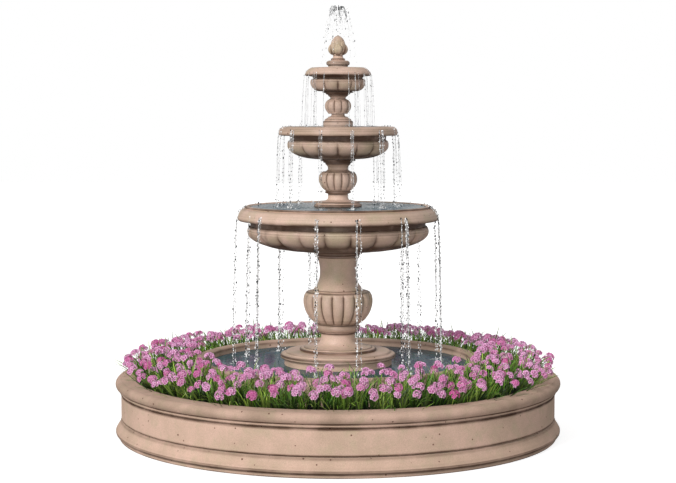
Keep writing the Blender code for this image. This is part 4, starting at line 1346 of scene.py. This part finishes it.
# a thread swells and thins every 26 mm or so
wobble = add(
    threads, "ShaderNodeTexNoise", {"Vector": place, "Scale": 38.0, "Detail": 1.0}
).outputs["Fac"]
thick = ranged(threads, wobble, From_Min=0.35, From_Max=0.7, To_Min=0.25, To_Max=1.3)
taper = ranged(threads, fraction, To_Min=1.0, To_Max=given["Thread End"])
both = maths(threads, "MULTIPLY", thick, taper)
radius = maths(threads, "MULTIPLY", both, given["Thread Radius"])
sized = add(threads, "GeometryNodeSetCurveRadius", {"Curve": evenly, "Radius": radius}).outputs[0]
ring = add(threads, "GeometryNodeCurvePrimitiveCircle", {"Resolution": 5, "Radius": 1.0}).outputs[0]
carried = add(threads, "GeometryNodeInputRadius").outputs[0]
strand = add(
    threads,
    "GeometryNodeCurveToMesh",
    {"Curve": sized, "Profile Curve": ring, "Scale": carried, "Fill Caps": True},
)
# the thread gets its painted glint: a tone between white and dark grey
strand = add(
    threads,
    "GeometryNodeStoreNamedAttribute",
    {"Geometry": strand.outputs[0], "Name": "tint", "Value": given["Thread Tone"]},
    data_type="FLOAT",
    domain="POINT",
).outputs[0]
beads = add(
    threads, "GeometryNodeCurveToPoints", {"Curve": course, "Length": given["Drop Spacing"]}, mode="LENGTH"
).outputs[0]
shake = add(
    threads,
    "FunctionNodeRandomValue",
    {0: (-1.0, -1.0, -1.0), 1: (1.0, 1.0, 1.0), "Seed": given["Seed"]},
    data_type="FLOAT_VECTOR",
).outputs[0]
scatter = {0: shake, "Scale": given["Scatter"]}
stray = add(threads, "ShaderNodeVectorMath", scatter, operation="SCALE").outputs[0]
loose = add(threads, "GeometryNodeSetPosition", {"Geometry": beads, "Offset": stray}).outputs[0]
chance = random_float(threads, 0.0, 1.0, 2)
skewed = maths(threads, "POWER", chance, 2.2)
grow = ranged(threads, skewed, To_Min=0.38, To_Max=1.0)
bead = maths(threads, "MULTIPLY", grow, given["Drop Radius"])
tall = maths(threads, "MULTIPLY", bead, 1.7)
shape = add(threads, "ShaderNodeCombineXYZ", {"X": bead, "Y": bead, "Z": tall}).outputs[0]
ball = add(threads, "GeometryNodeMeshIcoSphere", {"Radius": 1.0, "Subdivisions": 1}).outputs[0]
drops = add(
    threads, "GeometryNodeInstanceOnPoints", {"Points": loose, "Instance": ball, "Scale": shape}
).outputs[0]
# each drop gets a painted glint, white or dark at random
shade = random_float(threads, 0.0, 1.0, 4)
drops = add(
    threads,
    "GeometryNodeStoreNamedAttribute",
    {"Geometry": drops, "Name": "tint", "Value": shade},
    data_type="FLOAT",
    domain="INSTANCE",
).outputs[0]
drops = add(threads, "GeometryNodeRealizeInstances", {"Geometry": drops}).outputs[0]
together = threads.nodes.new("GeometryNodeJoinGeometry")
threads.links.new(strand, together.inputs[0])
threads.links.new(drops, together.inputs[0])
ended(threads, together.outputs[0], given["Finish"])


def threaded(name, paths, seed, **values):
    """Water along several paths, each a list of points, as one piece."""
    verts, edges = [], []
    for path in paths:
        edges += [(len(verts) + i, len(verts) + i + 1) for i in range(len(path) - 1)]
        verts += path
    guide = placed("paths", mesh_of("paths", verts, edges, []))
    apply_tree(guide, threads, Seed=seed, Finish=DROP_WATER, **values)
    made = piece(name, baked(guide), DROP_WATER, 180.0)
    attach(made, "root")
    return made


def at(bearing, r, z):
    """A point at a bearing in degrees from the front, to the right."""
    angle = math.radians(bearing)
    return (r * math.sin(angle), -r * math.cos(angle), z)


def tier_falls(name, rim, end_level, seed):
    """The threads of one bowl. Each follows the rim's outline, then falls freely."""
    chance = np.random.default_rng(seed)
    paths, landings = [], []
    for bearing, strands in FALLS[name]:
        for _ in range(strands):
            stray = chance.uniform(-0.5, 0.5) * math.degrees(BUNCH_WIDTH / rim[-1][0])
            swing = bearing + stray * (strands > 2)
            out = chance.uniform(0.02, 0.10)
            begin_r, begin_z = rim[-1]
            # at the sides a thread is seen over the whole rim, elsewhere from its edge down
            shown = rim if abs(bearing) > 62.0 else rim[-2:]
            run = [at(swing, r + 0.0012, z + 0.0008) for r, z in shown]
            duration = math.sqrt(2.0 * (begin_z - end_level) / GRAVITY)
            for t in np.linspace(0.0, duration, 12)[1:]:
                run.append(at(swing, begin_r + 0.0015 + out * t, begin_z - GRAVITY * t * t / 2.0))
            paths.append(run)
            landings.append(run[-1][:2])
            # a bunch of four or more throws up twice the splashes
            for _ in range(1 if strands < 4 else 2):
                turn = chance.uniform(0.0, math.tau)
                far, high = chance.uniform(0.012, 0.04), chance.uniform(0.008, 0.035)
                x, y = run[-1][:2]
                splash = []
                for t in (0.1, 0.35, 0.65, 0.9):
                    z = end_level + 0.002 + 4.0 * high * t * (1.0 - t)
                    splash.append((x + far * t * math.cos(turn), y + far * t * math.sin(turn), z))
                paths.append(splash)
    return paths, landings


POOL_LEVEL = 0.473
LOWER_LEVEL = heights("lower_bowl")[1] - 0.006
MIDDLE_LEVEL = heights("middle_bowl")[1] - 0.003
UPPER_LEVEL = heights("upper_bowl")[1] - 0.004
# the way over each rim, from the water's edge out to where a thread leaves the stone
rims = {
    "lower": [(0.606, LOWER_LEVEL + 0.001)]
    + [(0.616, 1.5652), (0.632, 1.5640), (0.640, 1.556), (0.648, 1.5475)]
    + [(0.664, 1.537), (0.6745, 1.522), (0.683, 1.504), (0.688, 1.486)],
    "middle": [(0.330, MIDDLE_LEVEL + 0.001)]
    + [(0.345, 2.1065), (0.370, 2.1055), (0.387, 2.0995), (0.398, 2.091), (0.4045, 2.079), (0.4062, 2.062)],
    "upper": [(0.154, UPPER_LEVEL + 0.001)]
    + [(0.170, 2.5075), (0.186, 2.504), (0.203, 2.493), (0.215, 2.480), (0.2222, 2.468), (0.2247, 2.459)],
}
levels = {"lower": POOL_LEVEL, "middle": LOWER_LEVEL, "upper": MIDDLE_LEVEL}
landed = {}
for k, name in enumerate(("lower", "middle", "upper")):
    paths, landed[name] = tier_falls(name, rims[name], levels[name], 51 + k)
    fine_water = (1.0, 0.74, 0.52)[k]  # the smaller bowls feed thinner threads, which hold together
    threaded(
        f"{name}_bowl_threads",
        paths,
        61 + k,
        Drop_Spacing=0.018 / fine_water,
        Drop_Radius=0.0054 * fine_water,
        Scatter=0.006 * fine_water,
        Thread_Radius=0.0013,
        Thread_End=0.35 + 0.25 * k,
        Thread_Tone=0.52,
    )

pond("pool_water", reach("plinth_block") - 0.01, POOL_RADIUS + 0.002, POOL_LEVEL, landed["lower"], 320, 56)
pond("lower_bowl_water", 0.149, 0.603, LOWER_LEVEL, landed["middle"], 256, 44)
pond("middle_bowl_water", 0.095, 0.334, MIDDLE_LEVEL, landed["upper"], 192, 26)
pond("upper_bowl_water", 0.068, 0.157, UPPER_LEVEL, [], 128, 12)

# --- Jet ------------------------------------------------------------------------------------
# The nozzle throws a hollow plume that opens, turns over at its crown and rains back into the
# upper bowl as drops.
chance = np.random.default_rng(71)
tip = heights("spray_nozzle")[1]
crown = heights("water_jet")[1]
skirt = reach("water_jet")


def plume_path(bearing, peak, far, first, last, spread):
    """A drop's way from the nozzle's tip, between two shares of its flight."""
    rise_time = math.sqrt(2.0 * (peak - tip) / GRAVITY)
    whole_time = rise_time + math.sqrt(2.0 * (peak - UPPER_LEVEL) / GRAVITY)
    run = []
    for share_out in np.linspace(first, last, 14):
        drop = GRAVITY * (share_out * whole_time - rise_time) ** 2 / 2.0
        run.append(at(bearing, 0.003 + far * share_out**spread, peak - drop))
    return run


crests, sprays = [], []
for k in range(7):
    middle = 360.0 * (k + 0.25) / 7.0
    for strand in range(3):
        bearing = middle + chance.uniform(-14.0, 14.0)
        peak = crown - 0.003 - 0.010 * strand
        far = skirt * chance.uniform(0.86, 1.04)
        crests.append(plume_path(bearing, peak, far, 0.25 + 0.03 * strand, chance.uniform(0.52, 0.66), 1.6))
for k in range(52):
    bearing = 360.0 * k / 52.0 + chance.uniform(-3.0, 3.0)
    peak = crown - 0.006 - 0.10 * chance.random() ** 2
    far = skirt * chance.uniform(0.72, 1.0)
    first = chance.uniform(0.1, 0.65)
    sprays.append(plume_path(bearing, peak, far, first, min(0.97, first + chance.uniform(0.25, 0.6)), 1.1))
crest = threaded(
    "jet_crown",
    crests,
    72,
    Drop_Spacing=0.09,
    Drop_Radius=0.0030,
    Scatter=0.003,
    Thread_Radius=0.0021,
    Thread_End=0.8,
    Thread_Tone=0.64,
)
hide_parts("water_jet")
spray = threaded(
    "jet_spray",
    sprays,
    73,
    Drop_Spacing=0.044,
    Drop_Radius=0.0040,
    Scatter=0.008,
    Thread_Radius=0.0005,
    Thread_End=0.6,
    Thread_Tone=0.45,
)
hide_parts("water_jet")
